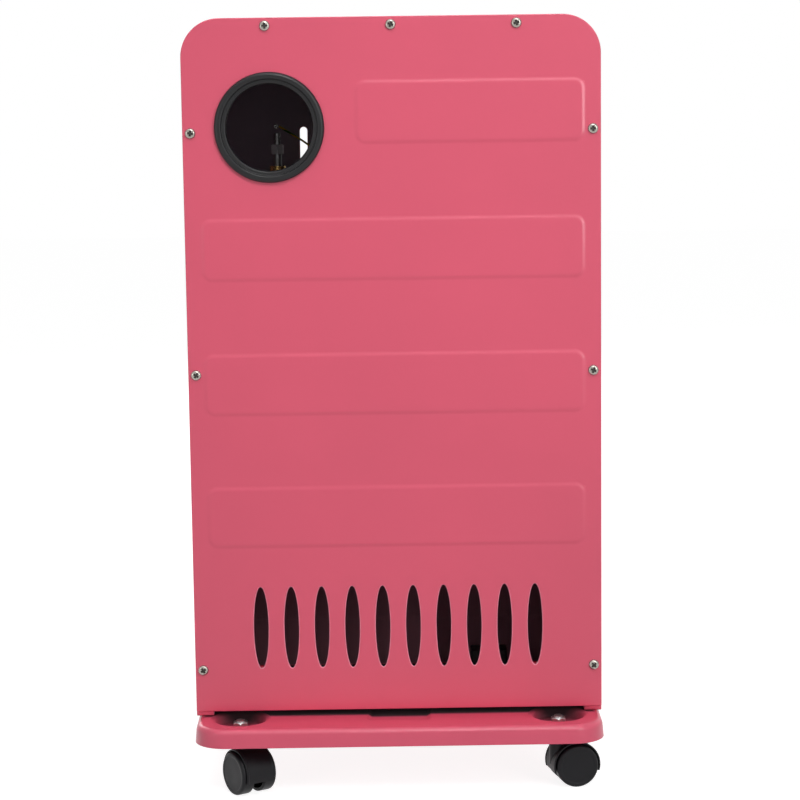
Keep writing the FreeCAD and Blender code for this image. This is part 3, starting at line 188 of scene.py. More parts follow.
def oval(x: float, y: float, half_width: float, half_height: float, count: int = 64) -> Path:
    """Draw an ellipse.

    Formula: the centre plus (half width times cos, half height times sin); the normal is (cos over half
    width, sin over half height), made one long.

    Args:
        x: Middle across.
        y: Middle up.
        half_width: Half its width.
        half_height: Half its height.
        count: Points round it.

    Returns:
        A closed path.
    """
    ring = directions(whole_turn(count))
    normals = ring / np.array([half_width, half_height])
    normals /= np.linalg.norm(normals, axis=1, keepdims=True)
    return Path(np.array([x, y]) + ring * np.array([half_width, half_height]), normals)


def circle(x: float, y: float, radius: float, count: int = 64) -> Path:
    """Draw a circle: an oval as high as it is wide."""
    return oval(x, y, radius, radius, count)


def centre_ring(x: float, y: float, count: int = 96) -> Path:
    """Draw a ring of no size, so that a profile carried round it is a body of revolution about (x, y)."""
    normals = directions(whole_turn(count))
    return Path(np.broadcast_to(np.array([x, y], float), normals.shape), normals)


def profile(corners: Sequence[Corner], steps: int = 6, closed: bool = False) -> np.ndarray:
    """Draw a section line through corners, each rounded by its own radius.

    Formula: an arc of the radius meets both runs of a corner at radius over tan(half the corner's angle)
    from it, and its points turn evenly from one run's normal to the other's. A point a little way along each
    run holds the shading of the straight.

    Args:
        corners: Corners as (offset, height, radius); a radius of nought leaves a sharp corner.
        steps: Pieces in each arc.
        closed: Whether the line returns to its first corner.

    Returns:
        Points as (n, 2).
    """
    spots = np.array([corner[:2] for corner in corners], float)
    radii = np.array([corner[2] for corner in corners], float)
    if not closed:
        radii[[0, -1]] = 0.0
    ahead = np.roll(spots, -1, axis=0) - spots
    reach = np.maximum(np.linalg.norm(ahead, axis=1), SAME_POINT)
    ahead /= reach[:, None]
    back = -np.roll(ahead, 1, axis=0)
    half = np.arccos(np.clip((back * ahead).sum(axis=1), -1.0, 1.0)) / 2.0
    setback = radii / np.tan(np.maximum(half, SAME_POINT))
    spare = np.maximum(reach - setback - np.roll(setback, -1), 0.0)
    runs = []
    for index, (spot, radius) in enumerate(zip(spots, radii)):
        if radius <= 0.0:
            runs.append(spot[None])
            continue
        middle = (back[index] + ahead[index]) / (2.0 * math.cos(half[index]))
        centre = spot + middle * radius / math.sin(half[index])
        first = spot + back[index] * setback[index]
        last = spot + ahead[index] * setback[index]
        start = math.atan2(*(first - centre)[::-1])
        sweep_angle = math.remainder(math.atan2(*(last - centre)[::-1]) - start, 2.0 * math.pi)
        turn = start + sweep_angle * np.linspace(0.0, 1.0, steps + 1)
        arc = centre + radius * directions(turn)
        before = first + back[index] * min(HOLD_SHARE * radius, SPARE_SHARE * spare[index - 1])
        after = last + ahead[index] * min(HOLD_SHARE * radius, SPARE_SHARE * spare[index])
        runs.append(np.concatenate([before[None], arc, after[None]]))
    return np.concatenate(runs)


def pressed_edge(width: float, rise: float, round_share: float = 0.3, steps: int = 14) -> np.ndarray:
    """Draw the sloping edge of a pressing, from the flat around it in to its own flat.

    Formula: the slope grows evenly from nought over the round share of the width, stays, and falls evenly
    back to nought, so the height is a parabola, a straight run and a parabola.

    Args:
        width: Width of the edge.
        rise: Height of the pressing, negative where it is sunk.
        round_share: Share of the width taken by each rounding.
        steps: Pieces across the edge.

    Returns:
        Points as (n, 2), from offset nought to minus the width.
    """
    along = np.linspace(0.0, 1.0, steps + 1)
    reach = 1.0 - round_share
    foot = along ** 2 / (2.0 * round_share * reach)
    slope = (along - round_share / 2.0) / reach
    head = 1.0 - (1.0 - along) ** 2 / (2.0 * round_share * reach)
    height = np.where(along < round_share, foot, np.where(along < reach, slope, head))
    return np.stack([-width * along, rise * height], axis=1)


def sweep(path: Path, section: np.ndarray) -> np.ndarray:
    """Carry a section along a path.

    Formula: a point is the path's point plus the section's offset times the normal, at the section's height.

    Args:
        path: The path, of n points.
        section: Section points as (m, 2): offset outwards and height.

    Returns:
        A grid of points as (m, n, 3).
    """
    spread = path.points + section[:, 0, None, None] * path.normals
    height = np.broadcast_to(section[:, 1, None, None], spread.shape[:2] + (1,))
    return np.concatenate([spread, height], axis=-1)


def round_section(radius: float, count: int = 20) -> np.ndarray:
    """Draw a round wire's section, closed: the radius times (cos, sin) over a whole turn."""
    return radius * directions(np.linspace(0.0, 2.0 * np.pi, count + 1))


def spline(points: np.ndarray, steps: int = 16) -> np.ndarray:
    """Draw a smooth line along a few points.

    Formula: a uniform cubic B-spline, whose ends are held by mirroring each end's neighbour through it.

    Args:
        points: Points as (n, 3).
        steps: Pieces in each span.

    Returns:
        Points along the line, from the first point to the last.
    """
    ends = np.concatenate([2.0 * points[:1] - points[1:2], points, 2.0 * points[-1:] - points[-2:-1]])
    share = np.linspace(0.0, 1.0, steps, endpoint=False)
    weights = np.stack([(1.0 - share) ** 3, 3.0 * share ** 3 - 6.0 * share ** 2 + 4.0,
                        -3.0 * share ** 3 + 3.0 * share ** 2 + 3.0 * share + 1.0, share ** 3]) / 6.0
    spans = np.stack([ends[first:len(ends) - 3 + first] for first in range(4)])
    return np.concatenate([np.einsum("kt,ksd->std", weights, spans).reshape(-1, 3), points[-1:]])


def tube(points: np.ndarray, radius: float, count: int = 16) -> np.ndarray:
    """Carry a circle along a line in space.

    Formula: a ring is the line's point plus the radius times (cos, sin) along two directions square to the
    line, the first of them level.

    Args:
        points: The line as (n, 3).
        radius: Radius of the tube.
        count: Points round a ring.

    Returns:
        A grid of points as (n + 2, count, 3), with each end drawn in to its middle.
    """
    along = np.gradient(points, axis=0)
    along /= np.linalg.norm(along, axis=1, keepdims=True)
    level = np.cross(along, np.array(TUBE_SIDE))
    level /= np.linalg.norm(level, axis=1, keepdims=True)
    third = np.cross(along, level)
    turn = whole_turn(count)[:, None]
    rings = points[:, None] + radius * (np.cos(turn) * level[:, None] + np.sin(turn) * third[:, None])
    ends = np.broadcast_to(points[[0, -1], None], (2, count, 3))
    return np.concatenate([ends[:1], rings, ends[1:]])


def inside(points: np.ndarray, loop: np.ndarray) -> np.ndarray:
    """Say which points lie in a loop.

    Formula: a ray from such a point crosses the loop's sides an odd number of times.

    Args:
        points: Points as (n, 2).
        loop: Corners of the loop as (m, 2).

    Returns:
        For each point whether it lies inside.
    """
    start, end = loop, np.roll(loop, -1, axis=0)
    x, y = points[:, None, 0], points[:, None, 1]
    straddles = (start[:, 1] > y) != (end[:, 1] > y)
    rise = np.where(start[:, 1] == end[:, 1], 1.0, end[:, 1] - start[:, 1])
    crossing = start[:, 0] + (y - start[:, 1]) / rise * (end[:, 0] - start[:, 0])
    return (straddles & (x < crossing)).sum(axis=1) % 2 == 1


class Skin:
    """Gathers the grids and flats of one piece, and welds them into one mesh."""

    def __init__(self, plane: Plane) -> None:
        """Start an empty skin.

        Args:
            plane: Its working plane.
        """
        self.plane = plane
        self.count = 0
        self.points: list[np.ndarray] = []
        self.faces: list[np.ndarray] = []
        self.rounded: list[np.ndarray] = []
        self.tones: list[np.ndarray] = []

    def _gather(self, points: np.ndarray, faces: np.ndarray, rounded: bool, tone: int | np.ndarray) -> None:
        """Add faces over their own points, with triangles written as quads that repeat a corner.

        Args:
            points: Points as (n, 3) in the world.
            faces: The points' numbers at each face's corners.
            rounded: Whether their shading is smooth.
            tone: Which of the piece's finishes they take.
        """
        if faces.shape[1] == 3:
            faces = np.concatenate([faces, faces[:, 2:]], axis=1)
        self.points.append(points)
        self.faces.append(faces + self.count)
        self.rounded.append(np.full(len(faces), rounded))
        self.tones.append(np.broadcast_to(np.asarray(tone), (len(faces),)))
        self.count += len(points)

    def grid(self, points: np.ndarray, closed: bool = True, rounded: bool = True, plane: Plane | None = None,
             tone: int | np.ndarray = Tone.FACE) -> None:
        """Add a grid of quads, or the same grid in many places.

        Args:
            points: Points as (..., rows, columns, 3) on the plane.
            closed: Whether the last column joins the first.
            rounded: Whether its shading is smooth.
            plane: A plane other than the skin's own.
            tone: Which of the piece's finishes it takes, for all its quads or for each.
        """
        rows, columns = points.shape[-3:-1]
        row = np.arange(rows - 1)[:, None] * columns
        column = np.arange(columns if closed else columns - 1)[None]
        after = (column + 1) % columns
        quads = np.stack([row + column, row + after, row + columns + after, row + columns + column], axis=-1)
        copies = np.arange(points.size // (rows * columns * 3))[:, None, None] * rows * columns
        quads = quads.reshape(-1, 4) + copies
        self._gather((plane or self.plane).lift(points.reshape(-1, 3)), quads.reshape(-1, 4), rounded, tone)

    def flat(self, outer: np.ndarray, holes: Sequence[np.ndarray] = (), height: float = 0.0,
             plane: Plane | None = None, tone: int = Tone.FACE) -> None:
        """Fill a level outline with triangles, leaving its holes open.

        Args:
            outer: Outline as (n, 2).
            holes: Outlines of the holes.
            height: Height over the plane.
            plane: A plane other than the skin's own.
            tone: Which of the piece's finishes it takes.
        """
        loops = [np.asarray(loop, float) for loop in (outer, *holes)]
        starts = np.cumsum([0] + [len(loop) for loop in loops[:-1]])
        edges = [start + np.stack([np.arange(len(loop)), np.roll(np.arange(len(loop)), -1)], axis=1)
                 for start, loop in zip(starts, loops)]
        spots, _, triangles, *_ = delaunay_2d_cdt(
            [Vector(spot) for spot in np.concatenate(loops)], np.concatenate(edges).tolist(), [], 0,
            FILL_TOLERANCE)
        level = np.array([spot[:] for spot in spots])
        faces = np.array(triangles)
        middle = level[faces].mean(axis=1)
        keep = inside(middle, loops[0])
        for hole in loops[1:]:
            keep &= ~inside(middle, hole)
        points = np.concatenate([level, np.full((len(level), 1), height)], axis=1)
        self._gather((plane or self.plane).lift(points), faces[keep], False, tone)

    def turned(self, section: np.ndarray, x: float = 0.0, y: float = 0.0, count: int = 96,
               plane: Plane | None = None) -> None:
        """Add a body of revolution: the section's offsets are radii about (x, y), its heights are out."""
        self.grid(sweep(centre_ring(x, y, count), section), plane=plane)

    def raised(self, path: Path, section: np.ndarray, tone: int = Tone.FACE,
               holes: Sequence[np.ndarray] = ()) -> None:
        """Add a boss or a well: the section carried round the path, and a flat inside its last ring."""
        self.grid(sweep(path, section), tone=tone)
        self.flat(path.moved(float(section[-1, 0])), holes, float(section[-1, 1]), tone=tone)

    def piece(self, name: str, facing: Triple | None = None) -> bpy.types.Object:
        """Weld the skin and make its object.

        Args:
            name: Name of the object.
            facing: The way that an open sheet faces; without it, faces point away from the middle.

        Returns:
            The object, at the origin.
        """
        points = np.concatenate(self.points)
        keys = np.round(points * WELD_STEPS_PER_METRE).astype(np.int64)
        _, first, welded = np.unique(keys, axis=0, return_index=True, return_inverse=True)
        quads = welded.reshape(-1)[np.concatenate(self.faces)]
        rounded = np.concatenate(self.rounded)
        tones = np.concatenate(self.tones)
        same = quads == np.roll(quads, -1, axis=1)
        whole, slim = same.sum(axis=1) == 0, same.sum(axis=1) == 1
        shift = same[slim].argmax(axis=1)[:, None] + np.arange(1, 4)
        triangles = np.take_along_axis(quads[slim], shift % 4, axis=1)
        mesh = bpy.data.meshes.new(name)
        mesh.from_pydata(points[first], [], quads[whole].tolist() + triangles.tolist())
        order = np.concatenate([np.flatnonzero(whole), np.flatnonzero(slim)])
        mesh.polygons.foreach_set("material_index", tones[order].astype(np.int32))
        self._face_out(mesh, facing)
        mesh.set_sharp_from_angle(angle=SHARP_ANGLE)
        mesh.polygons.foreach_set("use_smooth", rounded[order])
        item = bpy.data.objects.new(name, mesh)
        bpy.context.scene.collection.objects.link(item)
        return item

    @staticmethod
    def _face_out(mesh: bpy.types.Mesh, facing: Triple | None) -> None:
        """Turn all faces the same way, and outwards.

        Args:
            mesh: The mesh.
            facing: The way that an open sheet faces, or nothing for a closed piece.
        """
        draft = bmesh.new()
        draft.from_mesh(mesh)
        bmesh.ops.recalc_face_normals(draft, faces=draft.faces)
        draft.to_mesh(mesh)
        draft.free()
        if facing is None:
            return
        normals = np.zeros(len(mesh.polygons) * 3)
        areas = np.zeros(len(mesh.polygons))
        mesh.polygons.foreach_get("normal", normals)
        mesh.polygons.foreach_get("area", areas)
        if areas @ (normals.reshape(-1, 3) @ np.array(facing)) < 0.0:
            mesh.flip_normals()


def as_sheet(item: bpy.types.Object, thickness: float, inner_tone: int = Tone.INNER) -> bpy.types.Object:
    """Give an open skin the thickness of its sheet, behind its face.

    Args:
        item: The skin.
        thickness: Thickness of the sheet.
        inner_tone: Which of the piece's finishes its inner side takes.

    Returns:
        The same object.
    """
    solid = item.modifiers.new("sheet", "SOLIDIFY")
    solid.thickness = thickness * MM
    solid.offset = -1.0
    solid.use_even_offset = True
    solid.material_offset = inner_tone
    return item


# Finishes


# A mix node's colour sockets by number, because their names repeat.
MIX_SHARE = 0
MIX_FIRST = 6
MIX_SECOND = 7
MIX_RESULT = 2
CLOUD_DETAIL = 3.0


class Tree:
    """A node tree, with short calls to add nodes and join them."""

    def __init__(self, tree: bpy.types.NodeTree) -> None:
        """Take hold of a node tree."""
        self.tree = tree

    def add(self, kind: str, inputs: Inputs | None = None, **settings: object) -> bpy.types.Node:
        """Add a node.

        Args:
            kind: Blender's name of the node.
            inputs: Values or sockets for its inputs, by name or number.
            settings: Its own properties.

        Returns:
            The node.
        """
        node = self.tree.nodes.new(kind)
        for name, value in settings.items():
            setattr(node, name, value)
        self.feed(node, inputs or {})
        return node

    def feed(self, node: bpy.types.Node, inputs: Inputs) -> None:
        """Set a node's inputs, or join them to sockets.

        Args:
            node: The node.
            inputs: Values or sockets, by the input's name or number.
        """
        for name, value in inputs.items():
            if isinstance(value, Socket):
                self.tree.links.new(value, node.inputs[name])
            else:
                node.inputs[name].default_value = value

    def calculate(self, operation: str, *values: Socket | float) -> Socket:
        """Add a node for one operation, such as the larger of two values, and give its result."""
        return self.add("ShaderNodeMath", dict(enumerate(values)), operation=operation).outputs[0]

    def seen_rays(self) -> Socket:
        """Add nodes that give one for camera, glossy and transmission rays.

        Returns:
            The socket of that value.
        """
        rays = self.add("ShaderNodeLightPath")
        total = rays.outputs["Is Camera Ray"]
        for name in ("Is Glossy Ray", "Is Transmission Ray"):
            total = self.calculate("MAXIMUM", total, rays.outputs[name])
        return total


class Graph(Tree):
    """A material's node tree, around one principled shader."""

    def __init__(self, name: str) -> None:
        """Start a material.

        Args:
            name: Name of the material.
        """
        self.material = bpy.data.materials.new(name)
        self.material.use_nodes = True
        super().__init__(self.material.node_tree)
        self.shader = self.tree.nodes["Principled BSDF"]

    @cached_property
    def place(self) -> Socket:
        """Give the object's own coordinates, from a node made on its first use."""
        return self.add("ShaderNodeTexCoord").outputs["Object"]

    def axis(self, name: str) -> Socket:
        """Give one of the object's own coordinates."""
        return self.add("ShaderNodeSeparateXYZ", {"Vector": self.place}).outputs[name]

    def source(self, name: str) -> Socket:
        """Give the socket that feeds one of the shader's inputs."""
        return self.shader.inputs[name].links[0].from_socket

    def noise(self, scale: float, detail: float = 2.0, stretch: Triple | None = None) -> Socket:
        """Add a noise over the object's own coordinates.

        Args:
            scale: Waves in a metre.
            detail: Octaves of finer waves.
            stretch: Factors on each axis, for a drawn-out grain.

        Returns:
            The noise's value, from nought to one.
        """
        place = self.place
        if stretch is not None:
            place = self.add("ShaderNodeMapping", {"Vector": place, "Scale": stretch}).outputs["Vector"]
        wave = self.add("ShaderNodeTexNoise", {"Vector": place, "Scale": scale, "Detail": detail})
        return wave.outputs["Fac"]

    def map_range(self, value: Socket, low: float, high: float, from_low: float = 0.3,
                  from_high: float = 0.7) -> Socket:
        """Map a value from one span, by default most of a noise's, to another, held at its ends."""
        spread = self.add("ShaderNodeMapRange", {"Value": value, "From Min": from_low, "From Max": from_high,
                                                 "To Min": low, "To Max": high})
        return spread.outputs["Result"]

    def tint(self, share: Socket, first: Colour | Socket, second: Colour | Socket) -> Socket:
        """Mix two colours.

        Args:
            share: How much of the second, from nought to one.
            first: A colour, or the socket of one.
            second: The other colour, or its socket.

        Returns:
            The mixed colour.
        """
        ends = [end if isinstance(end, Socket) else (*end, 1.0) for end in (first, second)]
        mix = self.add("ShaderNodeMix", data_type="RGBA")
        self.feed(mix, {MIX_SHARE: share, MIX_FIRST: ends[0], MIX_SECOND: ends[1]})
        return mix.outputs[MIX_RESULT]

    def mottle(self, colour: Colour, drift: float, per_metre: float) -> Socket:
        """Let a colour drift slowly, darker and lighter by a share of itself."""
        cloud = self.map_range(self.noise(per_metre, CLOUD_DETAIL), 0.0, 1.0)
        return self.tint(cloud, shade(colour, 1.0 - drift), shade(colour, 1.0 + drift))

    def bump(self, height: Socket, depth: float, strength: float) -> None:
        """Make a height, of a depth in millimetres, stand on the surface."""
        lump = self.add("ShaderNodeBump", {"Height": height, "Distance": depth * MM, "Strength": strength})
        self.feed(self.shader, {"Normal": lump.outputs["Normal"]})


def shade(colour: Colour, factor: float) -> Colour:
    """Make a colour lighter or darker."""
    return tuple(min(1.0, part * factor) for part in colour)


@dataclass(frozen=True)
class Finish(ABC):
    """What a surface is made of: its record slot, colour and sheen."""

    name: str
    slot: str
    colour: Colour
    roughness: float

    def make(self) -> bpy.types.Material:
        """Give the finish's material, made on its first use.

        Returns:
            The material.
        """
        known = bpy.data.materials.get(self.name)
        if known is not None and known.get("ready"):
            return known
        graph = Graph(self.name)
        graph.shader.inputs["Roughness"].default_value = self.roughness
        self.lay(graph)
        graph.material["ready"] = True
        return graph.material

    @abstractmethod
    def lay(self, graph: Graph) -> None:
        """Add the finish's own nodes."""


@dataclass(frozen=True)
class PowderCoat(Finish):
    """Baked powder paint: a fine orange peel, slow drifts of colour and a soft sheen."""

    peel_per_metre: float = 520.0
    peel_depth: float = 0.035
    peel_detail: float = 2.5
    peel_strength: float = 0.6
    drift: float = 0.035
    cloud_per_metre: float = 4.5
    sheen_per_metre: float = 2600.0
    smoother: float = 0.05
    rougher: float = 0.06
    specular: float = 0.45
    coat: float = 0.0
    coat_roughness: float = 0.16

    def lay(self, graph: Graph) -> None:
        """Lay the drift of colour, the uneven sheen and the orange peel.

        Args:
            graph: The material's node tree.
        """
        gloss = graph.map_range(graph.noise(self.sheen_per_metre), self.roughness - self.smoother,
                                self.roughness + self.rougher)
        graph.feed(graph.shader, {"Base Color": graph.mottle(self.colour, self.drift, self.cloud_per_metre),
                                  "Roughness": gloss, "Specular IOR Level": self.specular,
                                  "Coat Weight": self.coat, "Coat Roughness": self.coat_roughness})
        peel = graph.noise(self.peel_per_metre, self.peel_detail)
        graph.bump(peel, self.peel_depth, self.peel_strength)


@dataclass(frozen=True)
class PaintedShadeCoat(PowderCoat):
    """Powder paint with painted shade: under the cabinet it darkens to a shade colour, and its sheen and coat
    fade out there.
    """

    # Colour of the painted shade under the cabinet.
    primer_and_shade: Colour = (0.030, 0.012, 0.016)
    # Roughness where the shade is painted, so that it shows no sheen.
    shade_roughness: float = 0.95
    side_half: float = 184.0
    side_fade: float = 3.0
    cabinet_half: float = 99.0
    fade: float = 6.0

    def lay(self, graph: Graph) -> None:
        """Lay the paint, and fade it to the dull painted shade under the cabinet.

        Args:
            graph: The material's node tree.
        """
        super().lay(graph)
        # Painted shade: nought under the middle of the cabinet takes the shade colour, one past the cabinet's
        # edges takes the paint.
        beside = self.past(graph, "X", self.side_half, self.side_fade)
        behind = self.past(graph, "Y", self.cabinet_half, self.fade)
        share = graph.calculate("MAXIMUM", beside, behind)
        dull = graph.map_range(share, self.shade_roughness, 0.0, 0.0, 1.0)
        colour = graph.tint(share, self.primer_and_shade, graph.source("Base Color"))
        sheen = graph.calculate("MAXIMUM", graph.source("Roughness"), dull)
        graph.feed(graph.shader, {"Base Color": colour, "Roughness": sheen})
        if self.coat > 0.0:
            graph.feed(graph.shader, {"Coat Weight": graph.map_range(share, 0.0, self.coat, 0.0, 1.0)})

    @staticmethod
    def past(graph: Graph, axis: str, reach: float, fade: float) -> Socket:
        """Give nought near the middle of an axis, and one past its reach on either side."""
        away = graph.calculate("ABSOLUTE", graph.axis(axis))
        return graph.map_range(away, 0.0, 1.0, (reach - fade) * MM, reach * MM)


@dataclass(frozen=True)
class InnerCoat(PowderCoat):
    """Thin paint inside the cabinet, over a grey primer that shows from the burner upwards."""

    primer_and_shade: Colour = (0.38, 0.34, 0.40)
    low: float = 300.0
    high: float = 480.0

    def lay(self, graph: Graph) -> None:
        """Lay the paint, and fade it to the primer with height.

        Args:
            graph: The material's node tree.
        """
        super().lay(graph)
        share = graph.map_range(graph.axis("Z"), 0.0, 1.0, self.low * MM, self.high * MM)
        colour = graph.tint(share, graph.source("Base Color"), self.primer_and_shade)
        graph.feed(graph.shader, {"Base Color": colour})


@dataclass(frozen=True)
class Moulding(Finish):
    """Moulded plastic or rubber: an even colour with a fine spark-eroded grain."""

    grain_per_metre: float = 1800.0
    grain_depth: float = 0.03
    grain_detail: float = 3.0
    grain_strength: float = 0.5
    drift: float = 0.12
    cloud_per_metre: float = 38.0
    sheen_per_metre: float = 60.0
    sheen_detail: float = 4.0
    smoother: float = 0.06
    rougher: float = 0.08
    specular: float = 0.5

    def lay(self, graph: Graph) -> None:
        """Lay the grain, its worn sheen and a slow drift of colour.

        Args:
            graph: The material's node tree.
        """
        gloss = graph.map_range(graph.noise(self.sheen_per_metre, self.sheen_detail),
                                self.roughness - self.smoother, self.roughness + self.rougher)
        graph.feed(graph.shader, {"Base Color": graph.mottle(self.colour, self.drift, self.cloud_per_metre),
                                  "Roughness": gloss, "Specular IOR Level": self.specular})
        grain = graph.noise(self.grain_per_metre, self.grain_detail)
        graph.bump(grain, self.grain_depth, self.grain_strength)


@dataclass(frozen=True)
class BareMetal(Finish):
    """Bare or plated metal with a drawn-out grain."""

    grain: Triple = (1.0, 1.0, 1.0)
    grain_per_metre: float = 700.0
    grain_depth: float = 0.01
    grain_detail: float = 4.0
    grain_strength: float = 0.4
    drift: float = 0.1
    cloud_per_metre: float = 55.0
    smoother_share: float = 0.75
    rougher_share: float = 1.3

    def lay(self, graph: Graph) -> None:
        """Lay the drawn grain over the metal, with dull patches in its sheen.

        Args:
            graph: The material's node tree.
        """
        lines = graph.noise(self.grain_per_metre, self.grain_detail, self.grain)
        gloss = graph.map_range(lines, self.roughness * self.smoother_share,
                                self.roughness * self.rougher_share)
        graph.feed(graph.shader, {"Base Color": graph.mottle(self.colour, self.drift, self.cloud_per_metre),
                                  "Roughness": gloss, "Metallic": 1.0})
        graph.bump(lines, self.grain_depth, self.grain_strength)


ROSE = PowderCoat("rose_enamel", "rose_enamel", (0.71, 0.085, 0.152), 0.38, coat=0.4)
# The tray's paint, with painted shade under the cabinet.
TRAY_ROSE_SHADED = PaintedShadeCoat("tray_enamel_shaded", "rose_enamel", (0.72, 0.090, 0.160), 0.38, coat=0.25)
DARK_INSIDE = PowderCoat("dark_primer", "rose_enamel", (0.42, 0.22, 0.27), 0.7)
FRONT_INSIDE = InnerCoat("front_primer", "rose_enamel", (0.40, 0.165, 0.215), 0.7)
# Painted shade in the castor wells: a darker rose that fades to the shade colour under the cabinet; the front
# wells are darker, and shaded over more of their area.
WELL_ROSE_SHADED = PaintedShadeCoat("well_enamel_shaded", "rose_enamel", (0.69, 0.083, 0.148), 0.42,
                     cabinet_half=107.0, fade=26.0)
SHADED_FRONT_WELL = PaintedShadeCoat("front_well_enamel_shaded", "rose_enamel", (0.66, 0.079, 0.142), 0.42,
                      cabinet_half=123.0, fade=26.0)
# Painted highlight: a lighter rose on the lips of the openings.
EDGE_HIGHLIGHT_ROSE = PowderCoat("edge_highlight_enamel", "rose_enamel", (0.80, 0.23, 0.32), 0.34, coat=0.15)
GROMMET_RUBBER = Moulding("grommet_rubber", "black_rubber", (0.0098, 0.0096, 0.0108), 0.34,
                          grain_per_metre=700.0, grain_depth=0.06, specular=0.3)
CASTOR_NYLON = Moulding("castor_nylon", "castor_plastic", (0.0082, 0.0080, 0.0098), 0.42, specular=0.2)
CONTROL_PLASTIC = Moulding("control_plastic", "control_plastic", (0.014, 0.014, 0.015), 0.34)
MARK_PAINT = Moulding("mark_paint", "control_plastic", (0.72, 0.72, 0.70), 0.5)
SWITCH_PLASTIC = Moulding("switch_plastic", "switch_plastic", (0.016, 0.016, 0.017), 0.5)
LEAD_SLEEVE = Moulding("lead_sleeve", "lead_sleeve", (0.62, 0.61, 0.57), 0.5)
EARTH_YELLOW = Moulding("earth_yellow", "earth_sleeve", (0.70, 0.52, 0.02), 0.4)
EARTH_GREEN = Moulding("earth_green", "earth_sleeve", (0.05, 0.22, 0.03), 0.4)
PLATED = BareMetal("nickel_plate", "bright_steel", (0.35, 0.33, 0.295), 0.24)
RECESS = BareMetal("recess_shade", "bright_steel", (0.07, 0.065, 0.06), 0.5)
GUARD_CHROME = BareMetal("guard_chrome", "bright_steel", (0.62, 0.62, 0.63), 0.14)
REFLECTOR_STEEL = BareMetal("reflector_steel", "bright_steel", (0.66, 0.65, 0.63), 0.22,
                            grain=(0.04, 1.0, 1.0))
DULL_ZINC = Moulding("dull_zinc", "zinc_steel", (0.44, 0.44, 0.45), 0.34, grain_per_metre=500.0)
ZINC = BareMetal("zinc_plate", "zinc_steel", (0.50, 0.50, 0.50), 0.34)
DULL_STEEL = BareMetal("dull_steel", "brass", (0.20, 0.20, 0.20), 0.48)
GALVANISED = BareMetal("galvanised_sheet", "galvanised", (0.40, 0.41, 0.42), 0.45)
BRASS = BareMetal("brass_fitting", "brass", (0.72, 0.49, 0.17), 0.26, grain_depth=0.004)
CAST_ALUMINIUM = BareMetal("cast_aluminium", "aluminium", (0.52, 0.52, 0.52), 0.5)
CERAMIC = Moulding("burner_ceramic", "ceramic", (0.74, 0.66, 0.53), 0.85)


def dress_node(node: str, finish: Finish) -> None:
    """Give a CAD node that stays its finish.

    Args:
        node: Name of the node.
        finish: Its finish.
    """
    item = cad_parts[node]
    item.data.materials.clear()
    item.data.materials.append(finish.make())
    log.info("dressed %s in %s", node, finish.name)


# Sub-assemblies


@dataclass
class SubAssembly(ABC):
    """Pieces that belong together, built in place of their CAD nodes."""

    body: str

    @abstractmethod
    def build(self) -> None:
        """Build and dress the pieces."""

    def settle(self, item: bpy.types.Object, node: str, *finishes: Finish) -> None:
        """Dress a piece, and let it ride in place of its node.

        Args:
            item: The piece.
            node: The CAD node that it stands for.
            finishes: Its finishes, one for each tone of the piece, in order.
        """
        for finish in finishes:
            item.data.materials.append(finish.make())
        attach(item, self.body)
        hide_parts(node)
        log.info("built %s for %s", item.name, node)

    def turn_piece(self, name: str, node: str, finish: Finish, skin: Skin, section: np.ndarray,
                   x: float = 0.0, y: float = 0.0, count: int = 96) -> None:
        """Make a piece that is one body of revolution.

        Args:
            name: Name of the piece.
            node: The CAD node that it stands for.
            finish: Its finish.
            skin: An empty skin on its plane.
            section: Section points as (n, 2): radius and height.
            x: The axis's place across.
            y: The axis's place up.
            count: Points round a ring.
        """
        skin.turned(section, x, y, count)
        self.settle(skin.piece(name), node, finish)


@dataclass
class PressedPanel(SubAssembly):
    """A flat sheet with raised pressings and openings, rounded at its edges."""

    node: str = ""
    plane: Plane = BACK
    half_width: float = 190.0
    low: float = 72.0
    high: float = 714.0
    corner: float = 35.0
    corner_steps: int = 20
    foot_corner: float = 1.2
    sheet: float = 1.0
    edge: float = 0.9
    bevel: float = 5.6
    rise: float = 0.8
    round_share: float = 0.45
    inner: Finish = DARK_INSIDE

    @abstractmethod
    def pressings(self) -> list[Path]:
        """Draw the outlines of the raised fields."""

    @abstractmethod
    def openings(self) -> list[Path]:
        """Draw the outlines of the openings."""

    def build(self) -> None:
        """Lay the flat, carry the edge round it and each opening, and press the raised fields."""
        pressings, openings = self.pressings(), self.openings()
        skin = Skin(self.plane)
        corners = (self.foot_corner, self.corner, self.corner, self.foot_corner)
        outline = rounded_box(-self.half_width, self.half_width, self.low, self.high, corners,
                              self.corner_steps)
        rolled = profile([(-self.edge, 0.0, 0.0), (0.0, 0.0, self.edge), (0.0, -self.sheet, 0.0)])
        lip = rolled * np.array([-1.0, 1.0])
        skin.grid(sweep(outline, rolled))
        for opening in openings:
            # The lips take the painted highlight.
            skin.grid(sweep(opening, lip), tone=Tone.LIP)
        slope = pressed_edge(self.bevel, self.rise, self.round_share)
        for pressing in pressings:
            skin.raised(pressing, slope)
        holes = [pressing.points for pressing in pressings]
        holes += [opening.moved(self.edge) for opening in openings]
        skin.flat(outline.moved(-self.edge), holes)
        item = skin.piece(f"{self.node}_skin", self.plane.out)
        self.settle(as_sheet(item, self.sheet), self.node, ROSE, self.inner, EDGE_HIGHLIGHT_ROSE)


